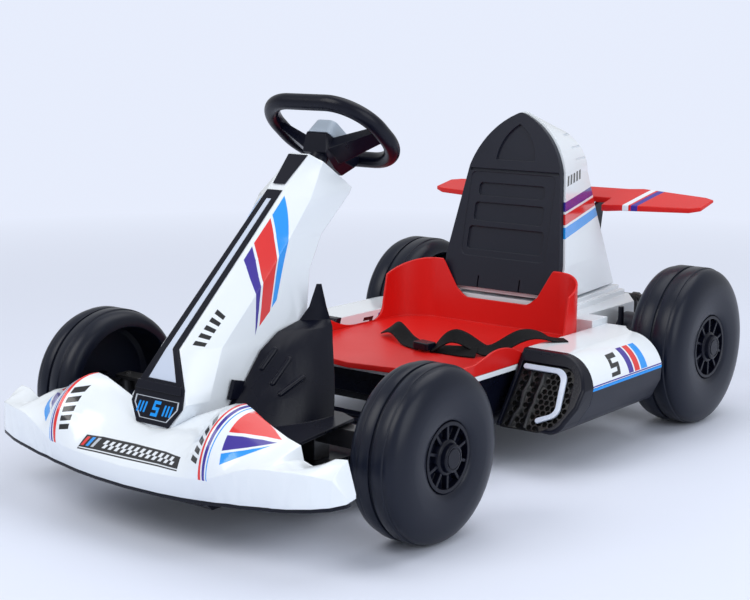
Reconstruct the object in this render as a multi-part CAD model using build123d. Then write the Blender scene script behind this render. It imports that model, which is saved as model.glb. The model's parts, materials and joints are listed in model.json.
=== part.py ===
from build123d import *
from math import cos, radians, sin, tan
import os

# Electric go-kart for a child, in millimetres.
# The kart faces -Y, its left side is +X, +Z is up and Z = 0 is the floor.

os.makedirs("parts", exist_ok=True)

# Wheels and axles
front_axle_y = -334.0
rear_axle_y = 451.0
front_tyre_radius = 120.0
front_tyre_width = 84.0
front_tyre_face_x = 351.0
rear_tyre_radius = 134.0
rear_tyre_width = 96.0
rear_tyre_face_x = 333.0
tyre_tread_wall = 25.0
tyre_web = 8.0
tread_groove_width = 5.0
tread_groove_depth = 3.0
tread_step = 9.0
dish_share = 0.398
dish_depth = 20.0
dish_lip = 16.0
hub_clearance = 0.3
bearing_clearance = 0.08
spindle_radius = 6.0
hub_barrel_radius = 16.0
hub_barrel_back = 12.0
hub_floor_thickness = 5.0
hub_ring_wall = 5.0
hub_cap_radius = 13.0
hub_cap_reach = 4.0
hub_cap_length = 8.0
spoke_count = 10
spoke_thickness = 4.0
spoke_setback = 6.0

# Front axle, kingpins and steering linkage
kingpin_x = 262.0
kingpin_radius = 5.0
kingpin_end = 3.0
beam_height = 26.0
beam_depth = 28.0
beam_end_gap = 30.0
beam_shelf_gap = 3.0
beam_post_x = 115.0
beam_post_width = 30.0
beam_post_depth = 32.0
fork_gap = 34.0
fork_plate = 6.0
fork_overhang = 14.0
fork_root = 8.0
knuckle_clearance = 0.3
knuckle_width = 26.0
spindle_collar_radius = 10.0
steering_arm = 70.0
steering_arm_plate = 6.0
steering_arm_width = 14.0
link_pin_radius = 4.0
link_pin_length = 12.0
link_rod_radius = 4.0
link_eye_height = 9.0
link_eye_radius = 9.0
link_drop = 1.0
link_tongue_width = 24.0
link_tongue_plate = 5.0
link_slot_half = 13.0
link_slot_wall = 7.0
link_slot_shift = 3.5
link_open_play = 1.5
link_tray_gap = 18.8
crank_length = 50.0
crank_width = 16.0
crank_plate = 8.0
crank_boss_wall = 4.0
crank_pin_reach = 30.0
crank_above_link = 15.0
crank_slot_play = 1.2

# Steering wheel and column
wheel_centre_y = -157.0
wheel_centre_z = 517.5
column_lean = 38.5
rim_half_width = 97.0
rim_half_height = 72.0
rim_corner = 62.0
rim_tube_radius = 12.0
column_radius = 8.0
column_hole_play = 3.0
column_top_depth = 24.0
hub_neck_radius = 14.0
hub_neck_low = 62.0
hub_neck_high = 40.0
pad_seat_depth = 20.0
pad_width = 46.0
pad_length = 54.0
pad_corner = 10.0
pad_rise = 5.0
pad_taper = 8.0
column_mount_depth = 300.0
column_mount_plate = 12.0

# Body heights
tray_plate = 12.0
shelf_plate = 4.0
body_wall = 3.5
fit_gap = 0.3

# Seat
seat_half_width = 190.0
seat_back_y = 290.0
seat_front_y = -122.0
seat_floor_bottom = 152.0
seat_wall = 4.0
seat_corner_radius = 65.0
seat_ear_top = 273.0
seat_back_top = 199.0
belt_width = 26.0
belt_thickness = 2.5
buckle_length = 34.0
buckle_width = 24.0
buckle_height = 12.0

# Seat base under the pan
base_front_y = -72.0
base_rear_y = 520.0
base_bottom = 100.0
base_wall = 4.0
base_inset = 14.0
box_inset = 40.0
shell_plate_bottom = 143.0
tail_inset = 38.0
tail_top = 186.0
tail_front_y = 345.0
plinth_step = 10.0
plinth_top = 204.0
battery_half_width = 75.0
battery_front_y = 20.0
battery_length = 151.0

# Backrest
backrest_base_y = 290.0
backrest_base_z = 218.0
backrest_lean = 12.6
backrest_height = 312.5
backrest_half_width = 118.0
backrest_thickness = 12.0
recess_depth = 4.0
panel_recess_depth = 1.5
cowl_rear_lean = 17.5
cowl_foot_y = 548.0
cowl_foot_z = 206.0
louvre_depth = 2.0
louvre_height = 2.6

# Side pods
pod_inner_x = seat_half_width + fit_gap
pod_width = 129.7
pod_outer_x = pod_inner_x + pod_width
pod_top_z = 175.0
pod_split_z = 129.0
pod_bottom_z = 65.0
pod_front_y = 58.0
pod_front_lean = 0.33
pod_wheel_gap = 8.0
nose_foot_y = 2.0
nose_slope = 0.70
nose_edge_radius = 6.0
pocket_depth = 8.0
grille_depth = 5.0
grille_pitch = 10.0
grille_cell_radius = 4.3
grille_cell_depth = 1.8
grille_rib_width = 3.2
grille_rib_height = 1.8
lamp_proud = 0.5

# Rear bar and gear housings
bar_reach = 57.6
bar_z = 178.0
bar_radius = 7.0
bar_collar_radius = 10.0
bar_bracket_width = 12.0
gear_radius = 42.0
gear_tyre_gap = 9.0

# Heights that follow from the tyres
front_axle_z = front_tyre_radius
rear_axle_z = rear_tyre_radius
shelf_top = front_axle_z + beam_height / 2 + beam_shelf_gap + shelf_plate
knuckle_height = fork_gap - 2 * knuckle_clearance
link_z = front_axle_z - knuckle_height / 2 - link_drop - link_eye_height / 2
tray_top = link_z - link_tray_gap
tray_bottom = tray_top - tray_plate

# The column ends where its crank pin meets the tie rod's tongue
crank_end_z = link_z + crank_above_link
column_foot_z = crank_end_z + crank_length * sin(radians(column_lean))
column_length = (wheel_centre_z - column_foot_z) / cos(radians(column_lean))

# Widths that follow from the seat
base_half = seat_half_width - base_inset
box_half = seat_half_width - box_inset
tail_half = seat_half_width - tail_inset
tail_rear_half = tail_half - 47.0
tail_rear_y = base_rear_y + 50.0
rear_tyre_inner_x = rear_tyre_face_x - rear_tyre_width
rear_tyre_front_y = rear_axle_y - rear_tyre_radius


def save(node, shape, colour):
    """Write one sub-part as its own STEP file."""
    shape.label = node
    shape.color = Color(*colour)
    export_step(shape, "parts/" + node + ".step")


white = (0.93, 0.94, 0.96)
red = (0.80, 0.05, 0.04)
black = (0.03, 0.03, 0.035)
grey = (0.35, 0.36, 0.38)
steel = (0.6, 0.6, 0.62)


def block(x0, x1, y0, y1, z0, z1):
    """A box between two opposite corners."""
    middle = ((x0 + x1) / 2, (y0 + y1) / 2, (z0 + z1) / 2)
    return Pos(*middle) * Box(x1 - x0, y1 - y0, z1 - z0)


def rod(start, end, radius):
    """A round bar between two points."""
    axis = Vector(*end) - Vector(*start)
    plane = Plane(origin=start, z_dir=axis)
    return extrude(plane * Circle(radius), amount=axis.length)


def mirrored(shape):
    """The same piece on the other side of the kart."""
    return mirror(shape, about=Plane.YZ)


def polygon_face(plane, points):
    """A flat face on a plane from a closed list of points."""
    return plane * make_face(Polyline(*points, close=True))


def curved_face(plane, start, steps):
    """A flat face from a start point and steps: an end for a line, or a way point and an end for an arc."""
    edges = []
    here = start
    for step in steps:
        if len(step) == 1:
            edges.append(Line(here, step[0]))
        else:
            edges.append(ThreePointArc(here, step[0], step[1]))
        here = step[-1]
    if here != start:
        edges.append(Line(here, start))
    return plane * make_face(Curve() + edges)


def ruled_loft(faces):
    """A solid with straight sides through a row of faces."""
    return loft(faces, ruled=True)


def slab_yz(points, x0, x1):
    """A side-view outline (y, z) carried from x0 to x1."""
    face = polygon_face(Plane.YZ.offset(x0), points)
    return extrude(face, amount=x1 - x0)


def slab_xz(points, y0, y1):
    """A front-view outline (x, z) carried from y0 to y1."""
    plane = Plane(origin=(0, y0, 0), x_dir=(1, 0, 0), z_dir=(0, 1, 0))
    turned = [(x, -z) for x, z in points]
    return extrude(polygon_face(plane, turned), amount=y1 - y0)


def slab_xy(points, z0, z1):
    """A plan outline (x, y) carried from z0 to z1."""
    return extrude(polygon_face(Plane.XY.offset(z0), points), amount=z1 - z0)


def tyre(radius, width):
    """One hollow moulded tyre about the X axis, outer face at x = 0 and its body towards -X."""
    shoulder = width * 0.17
    side_radius = radius - shoulder - 4
    crown_radius = radius - radius * 0.045
    dish = radius * dish_share
    cavity = radius - tyre_tread_wall
    groove = tread_groove_width / 2
    middle = -width / 2
    floor_x = -dish_depth
    web_x = floor_x - tyre_web
    bore = hub_barrel_radius + hub_clearance
    start = (floor_x, bore)
    steps = [
        ((floor_x, dish),),
        ((-3, dish),),
        ((0, dish + dish_lip),),
        ((0, side_radius),),
        ((-shoulder * 0.2, radius - shoulder * 0.5), (-shoulder * 0.8, crown_radius)),
        ((middle + groove + tread_step, radius),),
        ((middle + groove, radius),),
        ((middle + groove - 1, radius - tread_groove_depth),),
        ((middle - groove + 1, radius - tread_groove_depth),),
        ((middle - groove, radius),),
        ((middle - groove - tread_step, radius),),
        ((-width + shoulder * 0.8, crown_radius),),
        ((-width + shoulder * 0.2, radius - shoulder * 0.5), (-width, side_radius)),
        ((-width, cavity),),
        ((web_x - 6, cavity - 5),),
        ((web_x, cavity - 12),),
        ((web_x, bore),),
    ]
    return revolve(curved_face(Plane.XY, start, steps), axis=Axis.X)


def wheel_hub(radius):
    """Spoked hub that fills the dish of a tyre of this radius, its outer face at x = 0."""
    outer = radius * dish_share - hub_clearance
    floor_x = -dish_depth + hub_clearance
    barrel_back = -dish_depth - tyre_web - hub_barrel_back
    barrel_length = hub_cap_reach - barrel_back
    face = Plane.YZ.offset(floor_x)
    disc = extrude(face * Circle(outer), amount=hub_floor_thickness)
    ring = extrude(face * Circle(outer), amount=dish_depth - hub_floor_thickness)
    ring -= extrude(face * Circle(outer - hub_ring_wall), amount=dish_depth)
    barrel = extrude(Plane.YZ.offset(barrel_back) * Circle(hub_barrel_radius), amount=barrel_length - hub_cap_length)
    cap = extrude(Plane.YZ.offset(hub_cap_reach - hub_cap_length) * Circle(hub_cap_radius), amount=hub_cap_length)
    hub = disc + ring + barrel + cap
    half = spoke_thickness / 2
    for index in range(spoke_count):
        spoke = block(floor_x, -spoke_setback, -half, half, hub_cap_radius - 3, outer - 1)
        hub += Rot(index * 360 / spoke_count, 0, 0) * spoke
    bore_length = barrel_length - spoke_setback
    return hub - extrude(Plane.YZ.offset(barrel_back) * Circle(spindle_radius + bearing_clearance), amount=bore_length)


def tower_section(z, half_front, y_front, half_mid, y_mid, half_rear, y_rear, wall):
    """One level section of the steering tower, drawn in by the wall thickness."""
    points = [
        (-half_front + wall, y_front + wall),
        (half_front - wall, y_front + wall),
        (half_mid - wall, y_mid),
        (half_rear - wall, y_rear - wall),
        (-half_rear + wall, y_rear - wall),
        (-half_mid + wall, y_mid),
    ]
    return polygon_face(Plane.XY.offset(z), points)


# Level sections of the tower: z, front half width and y, middle half width and y, rear half width and y
tower_levels = [
    (128.0, 32, -535, 55, -492, 60, -286),
    (147.0, 34, -528, 56, -486, 60, -286),
    (178.0, 52, -517, 58, -480, 60, -286),
    (245.0, 19, -493, 52, -448, 58, -284),
    (330.0, 17, -401, 48, -352, 54, -270),
    (377.0, 16, -350, 48, -306, 50, -239),
    (430.0, 16, -293, 50, -262, 47, -172),
    (505.0, 19, -212, 24, -190, 26, -100),
]
tower_top_y = -231.0
tower_top_z = 491.0


def tower_solid(wall):
    """Leaning tower cut square to the steering column at its top."""
    faces = [tower_section(*level, wall) for level in tower_levels]
    body = ruled_loft(faces)
    lean = radians(column_lean)
    up = Vector(0, sin(lean), cos(lean))
    top = Plane(origin=Vector(0, tower_top_y, tower_top_z) - up * wall, x_dir=(1, 0, 0), z_dir=up)
    return split(body, bisect_by=top, keep=Keep.BOTTOM)


# Front deck stations: x, then lip, fascia top, way point over the crest and rear edge as (y, z) pairs
deck_stations = [
    (0, (-583, 76), (-588, 103), (-562, 126), (-499, 150)),
    (60, (-580, 76), (-586, 104), (-558, 131), (-499, 164)),
    (100, (-577, 77), (-584, 106), (-551, 148), (-499, 180)),
    (124, (-574, 78), (-583, 108), (-545, 172), (-499, 189)),
    (142, (-572, 79), (-582, 111), (-541, 185), (-499, 192)),
    (156, (-571, 80), (-581, 114), (-540, 178), (-499, 186)),
    (174, (-569, 82), (-578, 121), (-540, 162), (-499, 176)),
    (194, (-567, 83), (-575, 129), (-539, 152), (-499, 167)),
    (214, (-564, 85), (-571, 135), (-537, 147), (-499, 159)),
    (236, (-561, 87), (-566, 137), (-532, 146), (-499, 153)),
    (241, (-560, 87), (-565, 137), (-532, 140), (-499, 134)),
    (262, (-556, 89), (-558, 137), (-528, 136), (-499, 128)),
    (293, (-547, 93), (-546, 135), (-522, 142), (-499, 146)),
    (312, (-533, 95), (-528, 128), (-512, 141), (-499, 148)),
    (325, (-517, 98), (-514, 103), (-507, 106), (-499, 107)),
]
deck_skirt_rise = 3.0
deck_open_drop = 30.0
deck_open_reach = 20.0
lip_depth = 9.0
lip_drop = 5.0


def deck_face(station, wall):
    """One side-view section of the deck, drawn in by the wall and open below and behind when hollow."""
    x, lip, front, way, rear = station
    drop = deck_open_drop if wall else 0
    reach = deck_open_reach if wall else 0
    lean = (lip[0] - front[0]) / (front[1] - lip[1])
    start = (lip[0] + wall + lean * drop, lip[1] - drop)
    steps = [
        ((front[0] + wall, front[1] - wall * 0.4),),
        ((way[0] + wall * 0.6, way[1] - wall), (rear[0], rear[1] - wall)),
        ((rear[0] + reach + 1, rear[1] - wall),),
        ((rear[0] + reach + 1, lip[1] + deck_skirt_rise - drop),),
    ]
    return curved_face(Plane.YZ.offset(x), start, steps)


def deck_half(wall):
    """The +X half of the deck as a row of ruled spans."""
    stations = list(deck_stations)
    if wall:
        last = stations[-1]
        stations[-1] = (last[0] - 2 * wall,) + last[1:]
    half = None
    for first, second in zip(stations, stations[1:]):
        span = ruled_loft([deck_face(first, wall), deck_face(second, wall)])
        half = span if half is None else half + span
    return half


def front_deck():
    """White front deck with its two humps, a thin moulding open below."""
    half = deck_half(0) - deck_half(body_wall)
    whole = half + mirrored(half)
    return whole - tower_solid(-fit_gap)


def deck_lip():
    """Thin black strip under the front edge of the deck."""
    half = None
    rows = [(station[0], station[1]) for station in deck_stations]
    for first, second in zip(rows, rows[1:]):
        faces = []
        for x, (y, z) in (first, second):
            points = [(y, z - lip_drop), (y + lip_depth, z - lip_drop), (y + lip_depth, z - fit_gap), (y, z - fit_gap)]
            faces.append(polygon_face(Plane.YZ.offset(x), points))
        span = ruled_loft(faces)
        half = span if half is None else half + span
    return half + mirrored(half)


def tower_shell():
    """White hollow tower, open below, with a hole in its top for the column."""
    body = tower_solid(0) - tower_solid(body_wall)
    body -= column_tool(column_radius + column_hole_play)
    widest = max(level[5] for level in tower_levels)
    return body - block(-widest - 10, widest + 10, -484, -240, base_bottom, shelf_top - shelf_plate)


def column_axis():
    """Unit vector up the steering column."""
    lean = radians(column_lean)
    return Vector(0, sin(lean), cos(lean))


def column_point(distance):
    """A point on the column axis, measured down from the steering wheel's centre."""
    return Vector(0, wheel_centre_y, wheel_centre_z) - column_axis() * distance


def column_tool(radius):
    """A straight bore along the upper part of the column."""
    return rod(tuple(column_point(260)), tuple(column_point(-40)), radius)


# Black frame on the tower's front, its ledge, its light and the cap plate: half width and height
trim_outline = [(30, 147), (48, 172), (44, 196), (16, 246), (13.5, 441)]
ledge_outline = [(43.5, 190), (40.5, 201)]
light_outline = [(27, 204), (6, 246), (5, 430)]
cap_outline = [(11, 449), (18, 488)]
trim_depth = 3.0
ledge_depth = 6.5
light_depth = 2.4
light_gap = 0.4


def tower_front_y(z):
    """The y of the tower's front face at a height."""
    levels = [(level[0], level[2]) for level in tower_levels]
    for (z0, y0), (z1, y1) in zip(levels, levels[1:]):
        if z0 <= z <= z1:
            return y0 + (y1 - y0) * (z - z0) / (z1 - z0)
    return levels[-1][1]


def front_strip(rows, depth, raised):
    """A strip that follows the tower's front face, from rows of half width and height."""
    between = [level[0] for level in tower_levels if rows[0][1] < level[0] < rows[-1][1]]
    heights = sorted(set([row[1] for row in rows] + between))
    faces = []
    for z in heights:
        for (w0, z0), (w1, z1) in zip(rows, rows[1:]):
            if z0 <= z <= z1:
                half = w0 + (w1 - w0) * (z - z0) / (z1 - z0)
        y = tower_front_y(z) - raised
        points = [(-half, y), (half, y), (half, y - depth), (-half, y - depth)]
        faces.append(polygon_face(Plane.XY.offset(z), points))
    return ruled_loft(faces)


def tower_trim():
    """Black frame and panel on the tower's front, with a ledge under the slot left open for the light."""
    frame = front_strip(trim_outline, trim_depth, fit_gap) - front_strip(light_outline, trim_depth + 1, fit_gap)
    return frame + front_strip(ledge_outline, ledge_depth, fit_gap)


def tower_light():
    """Pale light strip that widens into a triangle at its foot."""
    rows = [(half - light_gap, z) for half, z in light_outline]
    return front_strip(rows, light_depth, fit_gap)


def tower_cap():
    """Black plate over the upper end of the tower's front."""
    return front_strip(cap_outline, trim_depth, fit_gap)


# Leg shield levels: height above the shelf, front x and y, rear x and y, and the bow of the arc between
guard_levels = [
    (-4, 60.5, -470, 142, -322, 26),
    (32, 60.5, -440, 130, -306, 22),
    (49, 60.5, -418, 123, -298, 18),
    (91, 60.5, -382, 104, -279, 13),
    (112, 60.5, -346, 96, -270, 8),
    (122, 60.5, -300, 93, -271, 3),
    (140, 70.0, -291, 90, -276, 2),
    (174, 82.0, -288, 87, -283, 1),
]
guard_wall = 3.0
flute_radius = 4.5
flute_sink = 1.5
# Flutes on the shield: height and share along the arc at the upper and at the lower end
guard_flutes = [(91, 0.17, 69, 0.11), (78, 0.38, 50, 0.28), (54, 0.59, 37, 0.40)]
shelf_outline = [(60.5, -488), (150, -488), (196, -455), (172, -315), (140, -300), (60.5, -300)]
guard_hook = [(-449, 35), (-440, 61), (-432, 59), (-420, 56), (-430, 34)]


def guard_arc(level, inset):
    """Ends and middle of a level's arc on the shield, drawn in by an inset."""
    rise, front_x, front_y, rear_x, rear_y, bow = level
    chord = Vector(rear_x - front_x, rear_y - front_y)
    out = Vector(chord.Y, -chord.X).normalized()
    front = Vector(front_x, front_y)
    rear = Vector(rear_x, rear_y)
    middle = (front + rear) * 0.5 + out * (bow - inset)
    front_shift = out * inset
    return front - front_shift, middle, rear - front_shift


def guard_section(level):
    """One level section of the shield's thin wall."""
    outer = [(point.X, point.Y) for point in guard_arc(level, 0)]
    wall = guard_wall if level[0] < 170 else guard_wall * 0.6
    inner = [(point.X, point.Y) for point in guard_arc(level, wall)]
    steps = [(outer[1], outer[2]), (inner[2],), (inner[1], inner[0])]
    return curved_face(Plane.XY.offset(shelf_top + level[0]), outer[0], steps)


def guard_point(rise, share, sink):
    """A point on the shield's outer face at a height and a share along its arc."""
    for low, high in zip(guard_levels, guard_levels[1:]):
        if low[0] <= rise <= high[0]:
            t = (rise - low[0]) / (high[0] - low[0])
            level = tuple(a + (b - a) * t for a, b in zip(low, high))
    front, middle, rear = guard_arc(level, 0)
    chord = rear - front
    out = Vector(chord.Y, -chord.X).normalized()
    place = front + chord * share + out * (level[5] * 4 * share * (1 - share) - sink)
    return place.X, place.Y, shelf_top + rise


def foot_guard():
    """Left leg shield: a thin swept skirt on the tower's flank, with flutes and a flat shelf over the front axle."""
    skirt = ruled_loft([guard_section(level) for level in guard_levels])
    skirt += slab_xy(shelf_outline, shelf_top - shelf_plate, shelf_top)
    for rise, share, low_rise, low_share in guard_flutes:
        head = guard_point(rise, share, flute_sink)
        foot = guard_point(low_rise, low_share, flute_sink)
        skirt += rod(head, foot, flute_radius)
        skirt += Pos(*head) * Sphere(flute_radius)
        skirt += Pos(*foot) * Sphere(flute_radius)
    side = shelf_outline[0][0]
    hook = [(y, shelf_top + rise) for y, rise in guard_hook]
    skirt += slab_yz(hook, side, side + 6)
    return skirt - block(-side, side, -600, -200, shelf_top - 20, shelf_top + 300)


tray_front_y = -480.0
tray_rear_y = -98.0
tray_rib_count = 5
tray_rib_y = -130.0
tray_rib_pitch = 26.0
skid_height = 17.0


def floor_tray():
    """Black floor: nose plate, foot tray with ribs, two rails to the seat base and two skids."""
    edge_y = tray_front_y
    tray = slab_xy([(-box_half, edge_y), (box_half, edge_y), (box_half, tray_rear_y), (-box_half, tray_rear_y)],
                   tray_bottom, tray_top)
    front_edge = [(station[0], station[1][0] + lip_depth + fit_gap) for station in deck_stations[:4]]
    left_edge = [(-x, y) for x, y in reversed(front_edge[1:])]
    tray += slab_xy([(-box_half, edge_y)] + left_edge + front_edge + [(box_half, edge_y)], tray_bottom, tray_top)
    for index in range(tray_rib_count):
        y = tray_rib_y - index * tray_rib_pitch
        tray += block(-box_half + 10, box_half - 10, y - 3, y + 3, tray_top, tray_top + 4)
    rail = block(box_half, base_half, -300, 120, tray_bottom - 5, tray_top)
    foot = tray_bottom - skid_height
    skid = slab_yz([(-548, tray_bottom), (-470, tray_bottom), (-500, foot), (-530, foot)], 60, 110)
    for piece in (rail, skid):
        tray += piece
        tray += mirrored(piece)
    return tray


def front_beam():
    """Front axle beam on two posts, with a fork for each kingpin."""
    y = front_axle_y
    z = front_axle_z
    depth = beam_depth / 2
    end = kingpin_x - beam_end_gap
    root = end - fork_root
    half_gap = fork_gap / 2
    beam = block(-end, end, y - depth, y + depth, z - beam_height / 2, z + beam_height / 2)
    fork = block(root, end, y - depth, y + depth, z - half_gap - fork_plate, z + half_gap + fork_plate)
    for low in (z - half_gap - fork_plate, z + half_gap):
        fork += block(root, kingpin_x + fork_overhang, y - depth, y + depth, low, low + fork_plate)
    fork += Pos(kingpin_x, y, z) * Cylinder(kingpin_radius, fork_gap + 2 * (fork_plate + kingpin_end))
    post_half = beam_post_width / 2
    fork += block(beam_post_x - post_half, beam_post_x + post_half, y - beam_post_depth / 2,
                  y + beam_post_depth / 2, tray_top, shelf_top - shelf_plate - fit_gap)
    return beam + fork + mirrored(fork)


def knuckle():
    """Left knuckle: boss on the kingpin, spindle for the wheel and arm for the tie rod."""
    y = front_axle_y
    z = front_axle_z
    low = z - knuckle_height / 2
    arm_half = steering_arm_width / 2
    spindle_end = front_tyre_face_x + hub_cap_reach - hub_cap_length
    collar_end = front_tyre_face_x - dish_depth - tyre_web - hub_barrel_back - 1
    body = Pos(kingpin_x, y, z) * Cylinder(knuckle_width / 2, knuckle_height)
    body += rod((kingpin_x, y, z), (spindle_end, y, z), spindle_radius)
    body += rod((kingpin_x, y, z), (collar_end, y, z), spindle_collar_radius)
    body += block(kingpin_x - arm_half, kingpin_x + arm_half, y, y + steering_arm, low, low + steering_arm_plate)
    body += Pos(kingpin_x, y + steering_arm, low + steering_arm_plate / 2) * Cylinder(arm_half, steering_arm_plate)
    body += Pos(kingpin_x, y + steering_arm, low - link_pin_length / 2) * Cylinder(link_pin_radius, link_pin_length)
    return body - Pos(kingpin_x, y, z) * Cylinder(kingpin_radius + bearing_clearance, knuckle_height + 2)


def crank_end():
    """The outer end of the crank below the column."""
    lean = radians(column_lean)
    back = Vector(0, cos(lean), -sin(lean))
    return column_point(column_length) + back * crank_length


def tie_rod():
    """Track rod behind the axle with a tongue that runs forward to the crank pin."""
    y = front_axle_y + steering_arm
    z = link_z
    bar = rod((-kingpin_x, y, z), (kingpin_x, y, z), link_rod_radius)
    for side in (-1, 1):
        bar += Pos(side * kingpin_x, y, z) * Cylinder(link_eye_radius, link_eye_height)
    end = crank_end()
    pin_y = end.Y - (end.Z - z) * tan(radians(column_lean))
    slot_y = pin_y - link_slot_shift
    half = link_tongue_width / 2
    plate = link_tongue_plate / 2
    bar += block(-half, half, slot_y - link_slot_half - link_slot_wall, y, z - plate, z + plate)
    slot = link_pin_radius + crank_slot_play
    bar -= block(-slot, slot, slot_y - link_slot_half, slot_y + link_slot_half, z - 10, z + 10)
    bar -= Pos(kingpin_x, y, z) * Cylinder(link_pin_radius + bearing_clearance, link_eye_height + 2)
    bar -= Pos(-kingpin_x, y, z) * Cylinder(link_pin_radius + link_open_play, link_eye_height + 2)
    return bar


def steering_column():
    """Steel column with its crank and crank pin at the lower end."""
    foot = column_point(column_length)
    shaft = rod(tuple(foot), tuple(column_point(column_top_depth)), column_radius)
    half = crank_width / 2
    plate = wheel_plane(-column_length - crank_plate / 2)
    crank = extrude(plate * Pos(0, crank_length / 2) * Rectangle(crank_width, crank_length), amount=crank_plate)
    crank += extrude(plate * Circle(column_radius + crank_boss_wall), amount=crank_plate)
    crank += extrude(plate * Pos(0, crank_length) * Circle(half), amount=crank_plate)
    end = crank_end()
    pin = rod(tuple(end - column_axis() * crank_pin_reach), tuple(end), link_pin_radius)
    return shaft + crank + pin


def wheel_plane(lift):
    """The steering wheel's plane: x across, y up the wheel, lifted along the column."""
    centre = Vector(0, wheel_centre_y, wheel_centre_z) + column_axis() * lift
    return Plane(origin=centre, x_dir=(1, 0, 0), z_dir=column_axis())


def steering_rim():
    """Rounded tube of the steering wheel."""
    path = wheel_plane(0) * RectangleRounded(2 * rim_half_width, 2 * rim_half_height, rim_corner).wire()
    return sweep(Plane(origin=path @ 0, z_dir=path % 0) * Circle(rim_tube_radius), path=path)


# Hub sections down the wheel: distance, then half width and height along the column at top, middle and bottom
hub_stations = [
    (-26, 19, -20, 19, -22, 19, -24),
    (-14, 22, -20, 24, -34, 22, -47),
    (30, 20, -20, 24, -34, 10, -46),
    (55, 16, -6, 22, -26, 6, -42),
    (70, 14, 4, 14, -4, 6, -10),
]
# Spoke sections across the wheel: x, then upper and lower side and bottom and top along the column
spoke_stations = [(16, -14, 24, -40, -20.3), (24, -14, 24, -40, -20.3), (88, -12, 14, -8, 4)]


def hub_section(station):
    """One section of the hub across the wheel."""
    down, top_half, top, middle_half, middle, low_half, low = station
    wheel = wheel_plane(0)
    plane = Plane(origin=wheel.from_local_coords((0, down, 0)), x_dir=(1, 0, 0), z_dir=wheel.y_dir)
    right = [(top_half, -top), (middle_half, -middle), (low_half, -low)]
    left = [(-x, y) for x, y in reversed(right)]
    return polygon_face(plane, right + left)


def spoke_section(station):
    """One section of the left spoke."""
    x, upper, lower, bottom, top = station
    wheel = wheel_plane(0)
    plane = Plane(origin=wheel.from_local_coords((x, 0, 0)), x_dir=wheel.y_dir, z_dir=(1, 0, 0))
    return polygon_face(plane, [(upper, bottom), (lower, bottom), (lower, top), (upper, top)])


def steering_hub():
    """Black wedge-shaped hub box with two side spokes and a chin that carries the rim."""
    hub = ruled_loft([hub_section(station) for station in hub_stations])
    spoke = ruled_loft([spoke_section(station) for station in spoke_stations])
    hub += spoke
    hub += mirrored(spoke)
    hub += extrude(wheel_plane(-hub_neck_low) * Circle(hub_neck_radius), amount=hub_neck_low - hub_neck_high)
    hub -= steering_rim()
    return hub - rod(tuple(column_point(hub_neck_low + 2)), tuple(column_point(column_top_depth)), column_radius)


def horn_pad():
    """Grey horn pad on the driver's side of the hub."""
    foot = wheel_plane(-pad_seat_depth + fit_gap) * RectangleRounded(pad_width, pad_length, pad_corner)
    head = wheel_plane(pad_rise) * RectangleRounded(pad_width - pad_taper, pad_length - pad_taper, pad_corner)
    return loft([foot, head])


def column_mount():
    """Bearing block that holds the column inside the tower."""
    plate = extrude(wheel_plane(-column_mount_depth) * Rectangle(200, 400), amount=column_mount_plate)
    plate = plate & tower_solid(body_wall + fit_gap)
    bore = rod(tuple(column_point(column_mount_depth + 30)), tuple(column_point(column_mount_depth - 30)),
               column_radius + bearing_clearance)
    return plate - bore


def axle_bore():
    """A straight bore for the rear axle across the kart."""
    end = rear_tyre_face_x
    return rod((-end, rear_axle_y, rear_axle_z), (end, rear_axle_y, rear_axle_z), spindle_radius)


def seat_base():
    """Black box under the seat that carries the battery and the rear axle."""
    top = shell_plate_bottom - fit_gap
    inner = box_half - 30
    box = block(-box_half, box_half, base_front_y, base_rear_y, base_bottom, top)
    box += block(-base_half, base_half, base_front_y + 32, 300, tray_top, top)
    box -= block(-inner, inner, base_front_y + 12, base_rear_y - 20, base_bottom + base_wall, top - base_wall)
    return box - axle_bore()


def battery():
    """Sealed battery block inside the seat base."""
    floor = base_bottom + base_wall + fit_gap
    roof = shell_plate_bottom - fit_gap - base_wall - fit_gap
    half = battery_half_width
    return block(-half, half, battery_front_y, battery_front_y + battery_length, floor, roof)


def body_shell():
    """White surround under the seat and the tail deck that carries the backrest."""
    edge = seat_half_width
    low = shell_plate_bottom
    front = [(-edge, -50), (-edge + 12, -78), (-edge + 100, -98)]
    front += [(-x, y) for x, y in reversed(front)]
    plate = slab_xy(front + [(edge, tail_front_y), (-edge, tail_front_y)], low, seat_floor_bottom - fit_gap)
    right = [(edge, seat_back_y + 4), (edge, tail_front_y), (tail_half, tail_front_y), (tail_half, base_rear_y - 15),
             (tail_rear_half, tail_rear_y)]
    left = [(-x, y) for x, y in reversed(right)]
    tail = slab_xy(right + left, low, tail_top)
    for inset, foot, head in ((22, tail_top, tail_top + plinth_step), (30, tail_top, plinth_top)):
        half = tail_half - inset
        rear = tail_rear_half + 21 - inset
        tail += slab_xy([(-half, 300), (half, 300), (rear, 578 - inset), (-rear, 578 - inset)], foot, head)
    return plate + tail - axle_bore()


def seat_outline(inset):
    """Plan of the seat, drawn in by an inset."""
    w = seat_half_width - inset
    back = seat_back_y - inset
    corner = seat_corner_radius - inset
    turn = corner * (1 - cos(radians(45)))
    front = [(w - 10, -70 + inset), (100, -105 + inset), (0, seat_front_y + inset), (-100, -105 + inset),
             (-w + 10, -70 + inset), (-w, -50)]
    steps = [((w, -50),)] + [(point,) for point in front] + [
        ((-w, back - corner),),
        ((-w + turn, back - turn), (-w + corner, back)),
        ((w - corner, back),),
        ((w - turn, back - turn), (w, back - corner)),
    ]
    return curved_face(Plane.XY, (w, back - corner), steps)


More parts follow.
